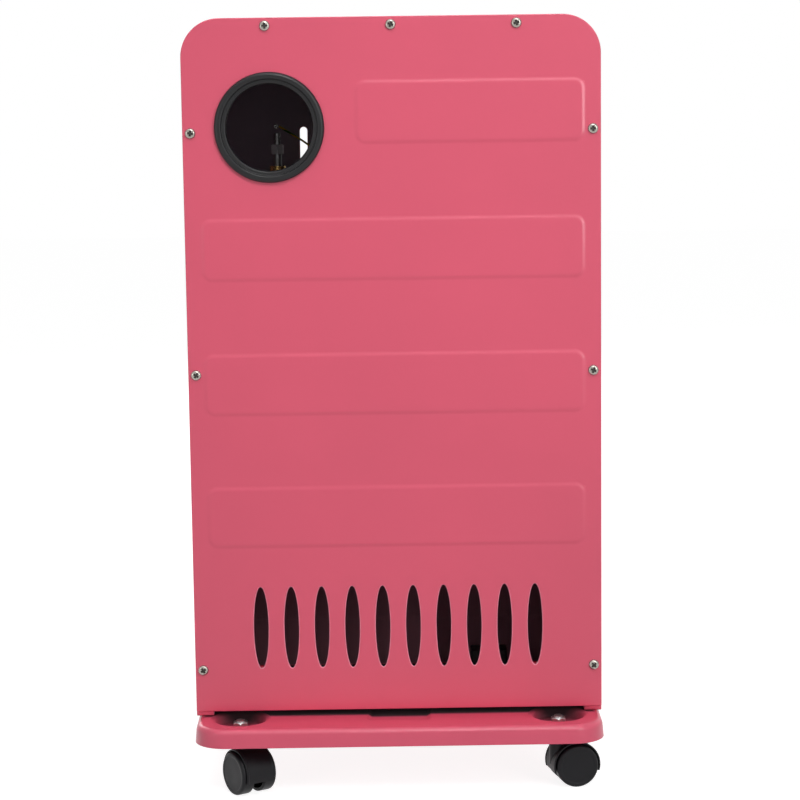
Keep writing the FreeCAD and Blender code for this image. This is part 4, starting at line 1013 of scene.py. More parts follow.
@dataclass
class BackPanel(PressedPanel):
    """Back panel: four pressings, the hose hole and ten lens-shaped vents."""

    node: str = "back_panel"
    ribs: int = 4
    rib_top: float = 658.7
    rib_pitch: float = 124.067
    rib_height: float = 60.5
    rib_half: float = 176.8
    rib_corner: float = 11.4
    short_rib_end: float = 34.8
    vents: int = 10
    vent_reach: float = 127.8
    vent_z: float = 151.5
    vent_half_width: float = 6.7
    vent_half_height: float = 38.5
    vent_points: int = 96
    hose_x: float = 111.0
    hose_z: float = 615.5
    hose_radius: float = 45.05
    hose_points: int = 128

    def pressings(self) -> list[Path]:
        """Draw the ribs, the highest of which stops short of the hose hole.

        Returns:
            Their outlines, from the top down.
        """
        tops = self.rib_top - self.rib_pitch * np.arange(self.ribs)
        ends = [self.short_rib_end] + [self.rib_half] * (self.ribs - 1)
        return [rounded_box(-self.rib_half, end, top - self.rib_height, top, self.rib_corner)
                for end, top in zip(ends, tops)]

    def openings(self) -> list[Path]:
        """Draw the vents and the hose hole.

        Returns:
            Their outlines.
        """
        places = np.linspace(-self.vent_reach, self.vent_reach, self.vents)
        vents = [oval(x, self.vent_z, self.vent_half_width, self.vent_half_height, self.vent_points)
                 for x in places]
        return vents + [circle(self.hose_x, self.hose_z, self.hose_radius, self.hose_points)]


@dataclass
class FrontPanel(PressedPanel):
    """Front panel: one pressing, the burner window, ten slots and the holes of controls and guard."""

    node: str = "front_panel"
    plane: Plane = FRONT
    low: float = 67.05
    inner: Finish = FRONT_INSIDE
    rib_half: float = 175.5
    rib_low: float = 112.0
    rib_high: float = 262.0
    rib_corner: float = 9.5
    slots: int = 10
    slot_reach: float = 85.6
    slot_half: float = 3.6
    slot_low: float = 562.0
    slot_high: float = 610.3
    slot_corner: float = 3.59
    window_half: float = 159.0
    window_low: float = 319.0
    window_high: float = 481.0
    window_corner: float = 12.0
    control_z: float = 535.0
    knob_x: float = 108.0
    knob_hole: float = 9.0
    igniter_x: float = 58.0
    igniter_hole: float = 10.55
    leg_x: float = 134.0
    leg_low: float = 304.0
    leg_high: float = 496.0
    leg_hole: float = 2.55
    leg_points: int = 24

    def pressings(self) -> list[Path]:
        """Draw the rib under the burner."""
        return [rounded_box(-self.rib_half, self.rib_half, self.rib_low, self.rib_high, self.rib_corner)]

    def openings(self) -> list[Path]:
        """Draw the slots, the window and the round holes.

        Returns:
            Their outlines.
        """
        outlines = [rounded_box(x - self.slot_half, x + self.slot_half, self.slot_low, self.slot_high,
                                self.slot_corner)
                    for x in np.linspace(-self.slot_reach, self.slot_reach, self.slots)]
        outlines.append(rounded_box(-self.window_half, self.window_half, self.window_low, self.window_high,
                                    self.window_corner))
        outlines.append(circle(self.knob_x, self.control_z, self.knob_hole))
        outlines.append(circle(self.igniter_x, self.control_z, self.igniter_hole))
        return outlines + [circle(x, z, self.leg_hole, self.leg_points)
                           for x in (self.leg_x, -self.leg_x) for z in (self.leg_low, self.leg_high)]


@dataclass
class Casing(SubAssembly):
    """Sides and top bent from one sheet, with flanges turned in behind both panels and under the sides."""

    half_width: float = 190.0
    half_depth: float = 94.0
    low: float = 67.6
    high: float = 714.0
    corner: float = 35.0
    flange: float = 16.0
    bend: float = 1.6
    foot_bend: float = 0.8
    hold: float = 1.0
    sheet: float = 1.0
    arc_steps: int = 20

    def build(self) -> None:
        """Carry a channel section over the arch, and turn a foot in under each side."""
        skin = Skin(UPRIGHT)
        ring = rounded_box(-self.half_width, self.half_width, self.low - self.high, self.high, self.corner,
                           self.arc_steps)
        top = slice(self.arc_steps + 1, 3 * (self.arc_steps + 1))
        foot = self.low + self.foot_bend
        right = np.array([[self.half_width, foot], [self.half_width, foot + self.hold]])
        outward = np.array([[1.0, 0.0], [1.0, 0.0]])
        mirror = np.array([-1.0, 1.0])
        arch = Path(np.concatenate([right, ring.points[top], right[::-1] * mirror]),
                    np.concatenate([outward, ring.normals[top], outward * mirror]))
        section = profile([(-self.flange, self.half_depth, 0.0), (0.0, self.half_depth, self.bend),
                           (0.0, -self.half_depth, self.bend), (-self.flange, -self.half_depth, 0.0)])
        skin.grid(sweep(arch, section), closed=False)
        turn = profile([(self.half_width, foot, 0.0), (self.half_width, self.low, self.foot_bend),
                        (self.half_width - self.flange, self.low, 0.0)])
        depth = np.linspace(-self.half_depth + self.bend, self.half_depth - self.bend, 2)
        for side in (1.0, -1.0):
            strip = np.zeros((len(turn), len(depth), 3))
            strip[..., 0] = side * turn[:, None, 0]
            strip[..., 1] = turn[:, None, 1]
            strip[..., 2] = depth
            skin.grid(strip, closed=False)
        item = skin.piece("casing_skin")
        self.settle(as_sheet(item, self.sheet), "casing_wrapper", ROSE, DARK_INSIDE)


@dataclass
class Grommet(SubAssembly):
    """Moulded ring in the hose hole, with a rounded bead outside and a lower lip inside it."""

    x: float = 111.0
    z: float = 615.5
    bore: float = 39.5
    seat: float = 45.0
    rim: float = 50.0
    face: float = 95.0
    stand: float = 5.0
    lip_drop: float = 3.0
    lip_run: float = 1.5
    groove: float = 1.0
    flange: float = 2.5
    tail: float = 8.0

    def build(self) -> None:
        """Turn the ring's section about the middle of the hole."""
        crest = self.face + self.stand
        lip = crest - self.lip_drop
        inner = self.face - self.tail
        bead = self.seat - self.lip_run
        behind = self.face - self.groove
        hold = self.seat + self.flange
        section = profile([
            (self.bore, inner, 0.6), (self.bore, lip, 1.6), (bead, lip, 0.7), (bead, crest, 1.6),
            (self.rim, crest, 3.2), (self.rim, self.face, 0.3), (self.seat, self.face, 0.0),
            (self.seat, behind, 0.0), (hold, behind, 0.3), (hold, inner, 0.8)], 7, closed=True)
        self.turn_piece("grommet_ring", "hose_grommet", GROMMET_RUBBER, Skin(UPRIGHT),
                        np.concatenate([section, section[:1]]), self.x, self.z, 160)


@dataclass
class Screws(SubAssembly):
    """Pan-head screws with a cross recess, each turned to its own angle."""

    node: str
    plane: Plane
    spots: list[tuple[float, float]]
    finish: Finish = PLATED
    radius: float = 4.75
    height: float = 2.8
    round_over: float = 2.1
    shank: float = 1.9
    length: float = 9.0
    recess_length: float = 6.2
    recess_width: float = 1.7
    recess_depth: float = 1.9
    arm_slope: float = 0.3
    end_slope: float = 1.3
    dome: float = 0.18
    sunk_share: float = 0.2
    first_turn: float = 0.35
    turn_step: float = 1.13

    def head(self, angle: float, rings: int = 34, count: int = 96) -> tuple[np.ndarray, np.ndarray]:
        """Work out one screw as a grid of rings.

        Formula: the section's heights, less the recess, which is the depth times how far a point lies inside
        the arms' width and length, each eased over a short slope.

        Args:
            angle: Turn of the recess.
            rings: Rings on the top of the head.
            count: Points round a ring.

        Returns:
            Points as (rings, count, 3) about the screw's own axis, and each quad's tone.
        """
        top = np.linspace(0.0, self.radius - self.round_over, rings)
        crown = np.stack([top, np.full(rings, self.height)], axis=1)
        side = profile([(self.radius - self.round_over, self.height, 0.0),
                        (self.radius, self.height, self.round_over), (self.radius, 0.0, 0.0),
                        (self.shank, 0.0, 0.0), (self.shank, -self.length, 0.0), (0.0, -self.length, 0.0)])
        points = sweep(centre_ring(0.0, 0.0, count), np.concatenate([crown, side[1:]])).copy()
        turn = np.array([[math.cos(angle), -math.sin(angle)], [math.sin(angle), math.cos(angle)]])
        across = np.abs(points[:rings, :, :2] @ turn)
        narrow, far = across.min(axis=-1), across.max(axis=-1)
        wide = np.clip((self.recess_width / 2.0 - narrow) / self.arm_slope + 0.5, 0.0, 1.0)
        long = np.clip((self.recess_length / 2.0 - far) / self.end_slope, 0.0, 1.0)
        points[:rings, :, 2] += self.dome * (1.0 - (top[:, None] / self.radius) ** 2)
        points[:rings, :, 2] -= self.recess_depth * wide * long
        tones = np.full((len(points) - 1, count), int(Tone.FACE))
        tones[:rings][wide * long > self.sunk_share] = Tone.RECESS
        return points, tones.reshape(-1)

    def build(self) -> None:
        """Set a screw on each spot, at an angle that steps round from one to the next."""
        skin = Skin(self.plane)
        for index, (x, z) in enumerate(self.spots):
            points, tones = self.head(self.first_turn + self.turn_step * index)
            skin.grid(points + np.array([x, z, 0.0]), tone=tones)
        self.settle(skin.piece(f"{self.node}_heads"), self.node, self.finish, RECESS)


CASTOR_X = 148.5
CASTOR_Y = 102.5
CASTOR_SPOTS = [(x, y) for x in (CASTOR_X, -CASTOR_X) for y in (CASTOR_Y, -CASTOR_Y)]


@dataclass
class BaseTray(SubAssembly):
    """Pressed tray with drawn-in sides, four castor wells and a shallow notch front and back."""

    half_width: float = 190.0
    half_depth: float = 144.0
    corner: float = 30.0
    corner_steps: int = 24
    top: float = 67.0
    height: float = 17.2
    draft: float = 1.5
    rim: float = 6.0
    rim_run: float = 1.5
    hem: float = 0.5
    hem_draft: float = 0.05
    sheet: float = 1.2
    well_radius: float = 24.2
    well_draft: float = 2.6
    well_depth: float = 9.2
    well_edge: float = 4.0
    well_round: float = 2.0
    well_floor: float = 4.0
    well_points: int = 96
    stem_bore: float = 4.15
    stem_points: int = 32
    notch_half: float = 30.0
    notch_low: float = 73.0
    notch_high: float = 117.0
    notch_corner: float = 6.0
    notch_bevel: float = 5.0
    notch_depth: float = 2.0
    front_notch_low: float = 96.5

    def build(self) -> None:
        """Lay the top, carry the skirt round it, and sink the wells and notches."""
        skin = Skin(level_plane(self.top))
        outline = rounded_box(-self.half_width, self.half_width, -self.half_depth, self.half_depth,
                              self.corner, self.corner_steps)
        drawn = self.draft + self.rim_run * self.rim
        skirt = profile([(-drawn, 0.0, 0.0), (-self.draft, 0.0, self.rim),
                         (-self.hem_draft, self.hem - self.height, 0.0), (0.0, -self.height, 0.0)], 8)
        skin.grid(sweep(outline, skirt))
        foot = -self.well_edge - self.well_draft
        sunk = profile([(0.0, 0.0, 0.0), (-self.well_edge, 0.0, self.well_edge),
                        (foot, -self.well_depth, self.well_round),
                        (foot - self.well_floor, -self.well_depth, 0.0)])
        holes = []
        for x, y in CASTOR_SPOTS:
            well = circle(x, y, self.well_radius + self.well_edge, self.well_points)
            bore = circle(x, y, self.stem_bore, self.stem_points)
            skin.raised(well, sunk, Tone.REAR_WELL if y > 0.0 else Tone.SHADED_FRONT_WELL, [bore.points])
            holes.append(well.points)
        slope = pressed_edge(self.notch_bevel, -self.notch_depth)
        for low, high in ((self.notch_low, self.notch_high), (-self.notch_high, -self.front_notch_low)):
            notch = rounded_box(-self.notch_half, self.notch_half, low, high, self.notch_corner)
            skin.raised(notch, slope)
            holes.append(notch.points)
        skin.flat(outline.moved(float(skirt[0, 0])), holes)
        item = skin.piece("base_skin", UP)
        # The tray top and the wells carry painted shade; the underside is plain rose.
        self.settle(as_sheet(item, self.sheet), "base_tray", TRAY_ROSE_SHADED, ROSE, WELL_ROSE_SHADED, SHADED_FRONT_WELL)


class Side(Enum):
    """Which wheel of a castor, and the way that it lies along the axle."""

    A = 1.0
    B = -1.0


@dataclass
class Castor(SubAssembly):
    """Twin-wheel castor: a hood on a swivelling stem, and a plain disc wheel on each side of its web."""

    name: str
    x: float
    y: float
    angle: float
    trail: float = 14.0
    wheel_radius: float = 20.0
    half_width: float = 18.0
    inner: float = 5.6
    rim_wall: float = 3.0
    face_wall: float = 2.4
    dish: float = 0.25
    dish_inset: float = 4.4
    rim_inset: float = 3.6
    hub: float = 5.5
    bore: float = 2.55
    bore_floor: float = 0.6
    hood_half: float = 15.0
    fender_inner: float = 21.0
    fender_outer: float = 22.1
    bead: float = 0.5
    bead_width: float = 1.8
    bead_slope: float = 0.5
    hood_lift: float = 14.0
    web_half: float = 5.2
    web_bite: float = 0.4
    web_points: int = 72
    boss_radius: float = 8.6
    boss_top: float = 46.6
    boss_round: float = 1.2
    boss_wall: float = 3.0
    boss_bite: float = 0.3

    def axle_plane(self, side: Side = Side.A) -> Plane:
        """Give the plane through the axle's middle, facing along it to one side.

        Args:
            side: The wheel's side.

        Returns:
            The plane.
        """
        cosine, sine = math.cos(math.radians(self.angle)), math.sin(math.radians(self.angle))
        origin = (self.x - self.trail * sine, self.y + self.trail * cosine, self.wheel_radius)
        return Plane(origin, (-sine, cosine, 0.0), UP, (side.value * cosine, side.value * sine, 0.0))

    def build(self) -> None:
        """Build the hood and both wheels."""
        self.build_hood()
        for side in Side:
            self.build_wheel(side)

    def build_wheel(self, side: Side) -> None:
        """Turn a wheel's section about the axle.

        Args:
            side: The wheel's side.
        """
        letter = side.name.lower()
        behind = self.half_width - self.face_wall
        sunk = self.half_width - self.dish
        rim = self.wheel_radius - self.rim_wall
        section = profile([
            (0.0, sunk, 0.0), (self.wheel_radius - self.dish_inset, sunk, 1.5),
            (self.wheel_radius - self.rim_inset, self.half_width, 1.5),
            (self.wheel_radius, self.half_width, 2.4), (self.wheel_radius, self.inner, 0.8),
            (rim, self.inner, 0.5), (rim, behind, 1.0),
            (self.hub, behind, 0.8), (self.hub, self.inner, 0.4), (self.bore, self.inner, 0.2),
            (self.bore, behind - self.bore_floor, 0.0), (0.0, behind - self.bore_floor, 0.0)])
        self.body = f"{self.name}_roller_{letter}"
        self.turn_piece(f"{self.name}_disc_{letter}", f"{self.name}_wheel_{letter}", CASTOR_NYLON,
                        Skin(self.axle_plane(side)), section, count=128)

    def build_hood(self) -> None:
        """Bend the fender round the wheels, and add the web between them and the boss of the stem."""
        axle = self.axle_plane()
        skin = Skin(axle)
        crest, edge = self.fender_outer + self.bead, self.hood_half - self.bead_width
        foot = edge - self.bead_slope
        section = profile([
            (crest, -self.hood_half, 0.4), (crest, -edge, 0.4), (self.fender_outer, -foot, 0.4),
            (self.fender_outer, foot, 0.4), (crest, edge, 0.4), (crest, self.hood_half, 0.4),
            (self.fender_inner, self.hood_half, 0.5), (self.fender_inner, -self.hood_half, 0.5)],
            4, closed=True)
        skin.grid(self.fender(np.concatenate([section, section[:1]])), closed=False)
        drop = self.hood_lift - self.wheel_radius
        cap = Plane(axle.origin, axle.across, axle.out, UP)
        for end in (-1.0, 1.0):
            across = end * np.sqrt(section[:, 0] ** 2 - drop ** 2)
            skin.flat(np.stack([across, section[:, 1]], axis=1), height=drop, plane=cap)
        reach = self.fender_inner + self.web_bite
        limit = math.asin(drop / reach)
        rim = directions(np.linspace(limit, math.pi - limit, self.web_points)) * reach
        halves = np.array([-self.web_half, self.web_half])
        for half in halves:
            skin.flat(rim, height=half)
        lower = np.broadcast_to(rim[[0, -1]], (2, 2, 2))
        floor = np.concatenate([lower, np.broadcast_to(halves[:, None, None], (2, 2, 1))], axis=2)
        skin.grid(floor, closed=False, rounded=False)
        skin.grid(self.neck())
        self.body = f"{self.name}_castor"
        self.settle(skin.piece(f"{self.name}_cover"), f"{self.name}_hood", CASTOR_NYLON)

    def neck(self, count: int = 64, rings: int = 10) -> np.ndarray:
        """Work out the boss of the stem, seated on the fender.

        Formula: rings about the stem, first over the boss's rounded top, and then in from its wall to its
        middle at the height of the fender there, the root of its radius squared less the distance squared.

        Args:
            count: Points round a ring.
            rings: Rings on the seat.

        Returns:
            Points as (rows, count, 3) on the axle's plane.
        """
        rise = self.boss_top - self.wheel_radius
        crown = profile([(0.0, rise, 0.0), (self.boss_radius, rise, self.boss_round),
                         (self.boss_radius, rise - self.boss_wall, 0.0)])
        reach = np.concatenate([crown[:, 0], np.linspace(self.boss_radius, 0.0, rings)])[:, None]
        turn = whole_turn(count)
        along = reach * np.cos(turn) - self.trail
        seat = np.sqrt(np.maximum((self.fender_outer - self.boss_bite) ** 2 - along ** 2, 0.0))
        seat[:len(crown)] = crown[:, 1:]
        return np.stack([along, seat, reach * np.sin(turn)], axis=-1)

    def fender(self, section: np.ndarray, steps: int = 84) -> np.ndarray:
        """Bend the fender's section round the axle, down to the hood's level lower edge.

        Formula: at each radius the arc runs between the two angles whose sine is the edge's drop under the
        axle over that radius, so that both ends are level.

        Args:
            section: Section points as (m, 2): radius and place along the axle.
            steps: Pieces along the arc.

        Returns:
            Points as (m, steps + 1, 3).
        """
        limit = np.arcsin((self.hood_lift - self.wheel_radius) / section[:, :1])
        turn = limit + (np.pi - 2.0 * limit) * np.linspace(0.0, 1.0, steps + 1)
        along = np.broadcast_to(section[:, 1:], turn.shape)
        return np.stack([section[:, :1] * np.cos(turn), section[:, :1] * np.sin(turn), along], axis=-1)


def hex_nut(flat: float, height: float, bore: float, chamfer: float = 1.0, inset: float = 0.2,
            flare: float = 0.09, count: int = 96, levels: int = 9) -> np.ndarray:
    """Work out a hexagon nut as rings from its bore over its top and down its sides.

    Formula: the radius is the lesser of the hexagon's, half the flats over cos of the angle from the nearest
    flat's middle, and of a cone that leaves the top face at just under the flats' half width.

    Args:
        flat: Width across the flats.
        height: Height of the nut.
        bore: Radius of its bore.
        chamfer: Height over which the corners are taken off.
        inset: How far the cone starts inside the flats.
        flare: How far it widens over that height, as a share of the width across the flats.
        count: Points round a ring.
        levels: Rings down the chamfer.

    Returns:
        Points as (rings, count, 3), standing on height nought.
    """
    turn = whole_turn(count)
    hexagon = flat / 2.0 / np.cos((turn + np.pi / 6.0) % (np.pi / 3.0) - np.pi / 6.0)
    depth = np.concatenate([np.linspace(0.0, chamfer, levels), [height]])
    cone = flat / 2.0 - inset + depth[:, None] / chamfer * flat * flare
    radius = np.concatenate([np.full((2, count), bore), np.minimum(hexagon, cone), np.full((1, count), bore)])
    level = height - np.concatenate([[height, 0.0], depth, [height]])
    return np.stack([radius * np.cos(turn), radius * np.sin(turn),
                     np.broadcast_to(level[:, None], radius.shape)], axis=-1)


@dataclass
class StemNuts(SubAssembly):
    """Hexagon nuts on the castor stems."""

    low: float = 57.8
    height: float = 6.4
    flat: float = 13.0
    bore: float = 4.05

    def build(self) -> None:
        """Set a nut on each stem."""
        skin = Skin(WORLD)
        spots = np.array([(x, y, self.low) for x, y in CASTOR_SPOTS])
        skin.grid(hex_nut(self.flat, self.height, self.bore) + spots[:, None, None])
        self.settle(skin.piece("stem_nut_set"), "castor_nuts", ZINC)


@dataclass
class GasInlet(SubAssembly):
    """Hose tail with rounded lands, and the loose nut that holds it on the elbow."""

    x: float = 108.0
    y: float = -3.5
    foot: float = 576.5
    nut_low: float = 587.7
    nut_height: float = 8.8
    nut_flat: float = 11.0
    shank: float = 4.0
    land: float = 3.4
    waist: float = 2.9
    lands: int = 3
    land_step: float = 0.1
    land_taper: float = 0.25
    land_length: float = 2.733
    pitch: float = 4.133
    mouth: float = 2.2
    mouth_depth: float = 6.0
    nut_play: float = 0.05

    def build(self) -> None:
        """Turn the tail with its open mouth, and set the nut under its lands."""
        top = self.nut_low + self.nut_height
        corners = [(0.0, self.foot, 0.0), (self.shank, self.foot, 0.0), (self.shank, top, 0.0)]
        for index in range(self.lands):
            low = top + index * self.pitch
            high = low + self.land_length
            corners += [(self.waist, low, 0.0), (self.land, low + self.land_step, 0.3),
                        (self.land - self.land_taper, high, 0.3), (self.waist, high, 0.1)]
        crown = corners.pop()[1]
        corners += [(self.mouth, crown, 0.3), (self.mouth, crown - self.mouth_depth, 0.0),
                    (0.0, crown - self.mouth_depth, 0.0)]
        self.turn_piece("hose_tail_turned", "hose_tail", DULL_STEEL, Skin(WORLD), profile(corners, 3),
                        self.x, self.y, 48)
        skin = Skin(WORLD)
        skin.grid(hex_nut(self.nut_flat, self.nut_height, self.shank + self.nut_play)
                  + np.array([self.x, self.y, self.nut_low]))
        self.settle(skin.piece("inlet_nut_hex"), "inlet_nut", DULL_ZINC)


@dataclass
class EarthWire(SubAssembly):
    """Two-colour sleeve of the earth wire, in an easy curve from its screw to the spark generator."""

    route: tuple[Triple, ...] = ((109.3, -92.75, 611.0), (98.01, -84.0, 604.45), (75.44, -71.0, 591.35),
                                 (62.10, -66.0, 573.01), (58.0, -72.0, 555.98), (58.0, -72.0, 545.5))
    radius: float = 1.0
    count: int = 16
    twist: int = 9
    stripe_width: int = 5

    def build(self) -> None:
        """Carry the sleeve along its route, with a green stripe that winds round the yellow."""
        grid = tube(spline(np.array(self.route)), self.radius, self.count)
        ring, column = np.meshgrid(np.arange(len(grid) - 1), np.arange(self.count), indexing="ij")
        stripe = (column + ring * self.twist // self.count) % self.count < self.stripe_width
        skin = Skin(WORLD)
        skin.grid(grid, tone=np.where(stripe.reshape(-1), int(Tone.STRIPE), int(Tone.FACE)))
        self.settle(skin.piece("earth_wire_sleeve"), "earth_wire", EARTH_YELLOW, EARTH_GREEN)


@dataclass
class Guard(SubAssembly):
    """Wire guard of the burner: a bent rod on four legs, and upright and cross wires welded to it."""

    middle: float = 400.0
    half: float = 174.0
    rise: float = 96.0
    corner: float = 12.0
    rod: float = 2.5
    rod_y: float = -112.0
    leg_x: float = 134.0
    leg_end: float = -90.0
    leg_round: float = 0.6
    leg_points: int = 20
    wire: float = 1.5
    wire_round: float = 0.9
    wire_points: int = 16
    wire_y: float = -116.05
    wires: int = 21
    cross_y: float = -113.0
    cross_half: float = 171.45
    cross_rise: float = 30.0

    def build(self) -> None:
        """Bend the rod with its legs, and set the wires on it."""
        skin = Skin(Plane((0.0, self.rod_y, 0.0)))
        low, high = self.middle - self.rise, self.middle + self.rise
        loop = rounded_box(-self.half, self.half, low, high, self.corner)
        skin.grid(sweep(loop, round_section(self.rod)))
        length = self.leg_end - self.rod_y
        leg = profile([(0.0, 0.0, 0.0), (self.rod, 0.0, 0.0), (self.rod, length, self.leg_round),
                       (0.0, length, 0.0)])
        for x in (self.leg_x, -self.leg_x):
            for z in (high, low):
                skin.turned(leg, x, z, self.leg_points)
        self.settle(skin.piece("guard_rod"), "guard_frame", GUARD_CHROME)
        skin = Skin(WORLD)
        spots = np.zeros((self.wires, 1, 1, 3))
        spots[:, 0, 0, 0] = np.linspace(-self.half, self.half, self.wires + 2)[1:-1]
        spots[:, 0, 0, 1] = self.wire_y
        wire = self.bar(low - self.rod, high + self.rod)
        skin.grid(sweep(centre_ring(0.0, 0.0, self.wire_points), wire) + spots)
        side = Plane((0.0, 0.0, 0.0), BACKWARD, UP, RIGHT)
        for z in (self.middle - self.cross_rise, self.middle + self.cross_rise):
            skin.turned(self.bar(-self.cross_half, self.cross_half), self.cross_y, z, self.wire_points, side)
        self.settle(skin.piece("guard_wire_set"), "guard_wires", GUARD_CHROME)

    def bar(self, low: float, high: float) -> np.ndarray:
        """Draw half the section of a wire with rounded ends, between two levels."""
        return profile([(0.0, low, 0.0), (self.wire, low, self.wire_round),
                        (self.wire, high, self.wire_round), (0.0, high, 0.0)], 3)


@dataclass
class Plaques(SubAssembly):
    """Ceramic burner plaques, each a tile with rows of small flared gas holes."""

    places: tuple[float, ...] = (-98.0, 0.0, 98.0)
    middle: float = 400.0
    half_width: float = 45.7
    half_height: float = 65.7
    face_y: float = -61.0
    thick: float = 13.0
    margin: float = 4.0
    edge: float = 0.8
    back_edge: float = 0.4
    corner: float = 1.0
    columns: int = 22
    rows: int = 32
    mouth: float = 1.25
    throat: float = 0.75
    flare: float = 1.2
    depth: float = 3.0

    def cells(self) -> np.ndarray:
        """Work out every hole of one tile with the square of face around it.

        Formula: a cell runs from a square's edge to the hole's mouth, down the flare and the throat, to the
        middle of the throat's floor, in eight directions; the cells repeat at the pitch both ways.

        Returns:
            Points as (cells, 5, 8, 3).
        """
        pitch = self.pitches()
        ring = directions(whole_turn(8))
        square = ring / np.abs(ring).max(axis=1, keepdims=True) * pitch / 2.0
        flat = np.stack([square, self.mouth * ring, self.throat * ring, self.throat * ring, 0.0 * ring])
        level = np.array([0.0, 0.0, -self.flare, -self.depth, -self.depth])
        cell = np.concatenate([flat, np.broadcast_to(level[:, None, None], (5, 8, 1))], axis=2)
        column, row = np.meshgrid(np.arange(self.columns), np.arange(self.rows))
        spots = np.zeros((column.size, 1, 1, 3))
        spots[:, 0, 0, 0] = (column.reshape(-1) - (self.columns - 1) / 2.0) * pitch[0]
        spots[:, 0, 0, 1] = (row.reshape(-1) - (self.rows - 1) / 2.0) * pitch[1]
        return cell + spots

    def pitches(self) -> np.ndarray:
        """Give the holes' pitch across and up."""
        return 2.0 * np.array([(self.half_width - self.margin) / self.columns,
                               (self.half_height - self.margin) / self.rows])

    def field(self) -> np.ndarray:
        """Draw the edge of the holes' field, with a point at each cell's corners and side middles.

        Returns:
            Points as (n, 2), once round.
        """
        right, high = self.half_width - self.margin, self.half_height - self.margin
        across = np.linspace(-right, right, 2 * self.columns + 1)[:-1]
        along = np.linspace(-high, high, 2 * self.rows + 1)[:-1]
        low = np.stack([across, np.full(len(across), -high)], axis=1)
        side = np.stack([np.full(len(along), right), along], axis=1)
        return np.concatenate([low, side, -low, -side])

    def build(self) -> None:
        """Make the three tiles."""
        skin = Skin(Plane((0.0, self.face_y, self.middle), out=FORWARD))
        section = profile([(-self.edge, 0.0, 0.0), (0.0, 0.0, self.edge), (0.0, -self.thick, self.back_edge),
                           (-self.edge, -self.thick, 0.0)], 3)
        for x in self.places:
            outline = rounded_box(x - self.half_width, x + self.half_width, -self.half_height,
                                  self.half_height, self.corner, 3)
            skin.grid(sweep(outline, section))
            skin.flat(outline.moved(-self.edge), [self.field() + np.array([x, 0.0])])
            skin.flat(outline.moved(-self.edge), height=-self.thick)
            skin.grid(self.cells() + np.array([x, 0.0, 0.0]))
        self.settle(skin.piece("plaque_tiles"), "ceramic_plaques", CERAMIC)


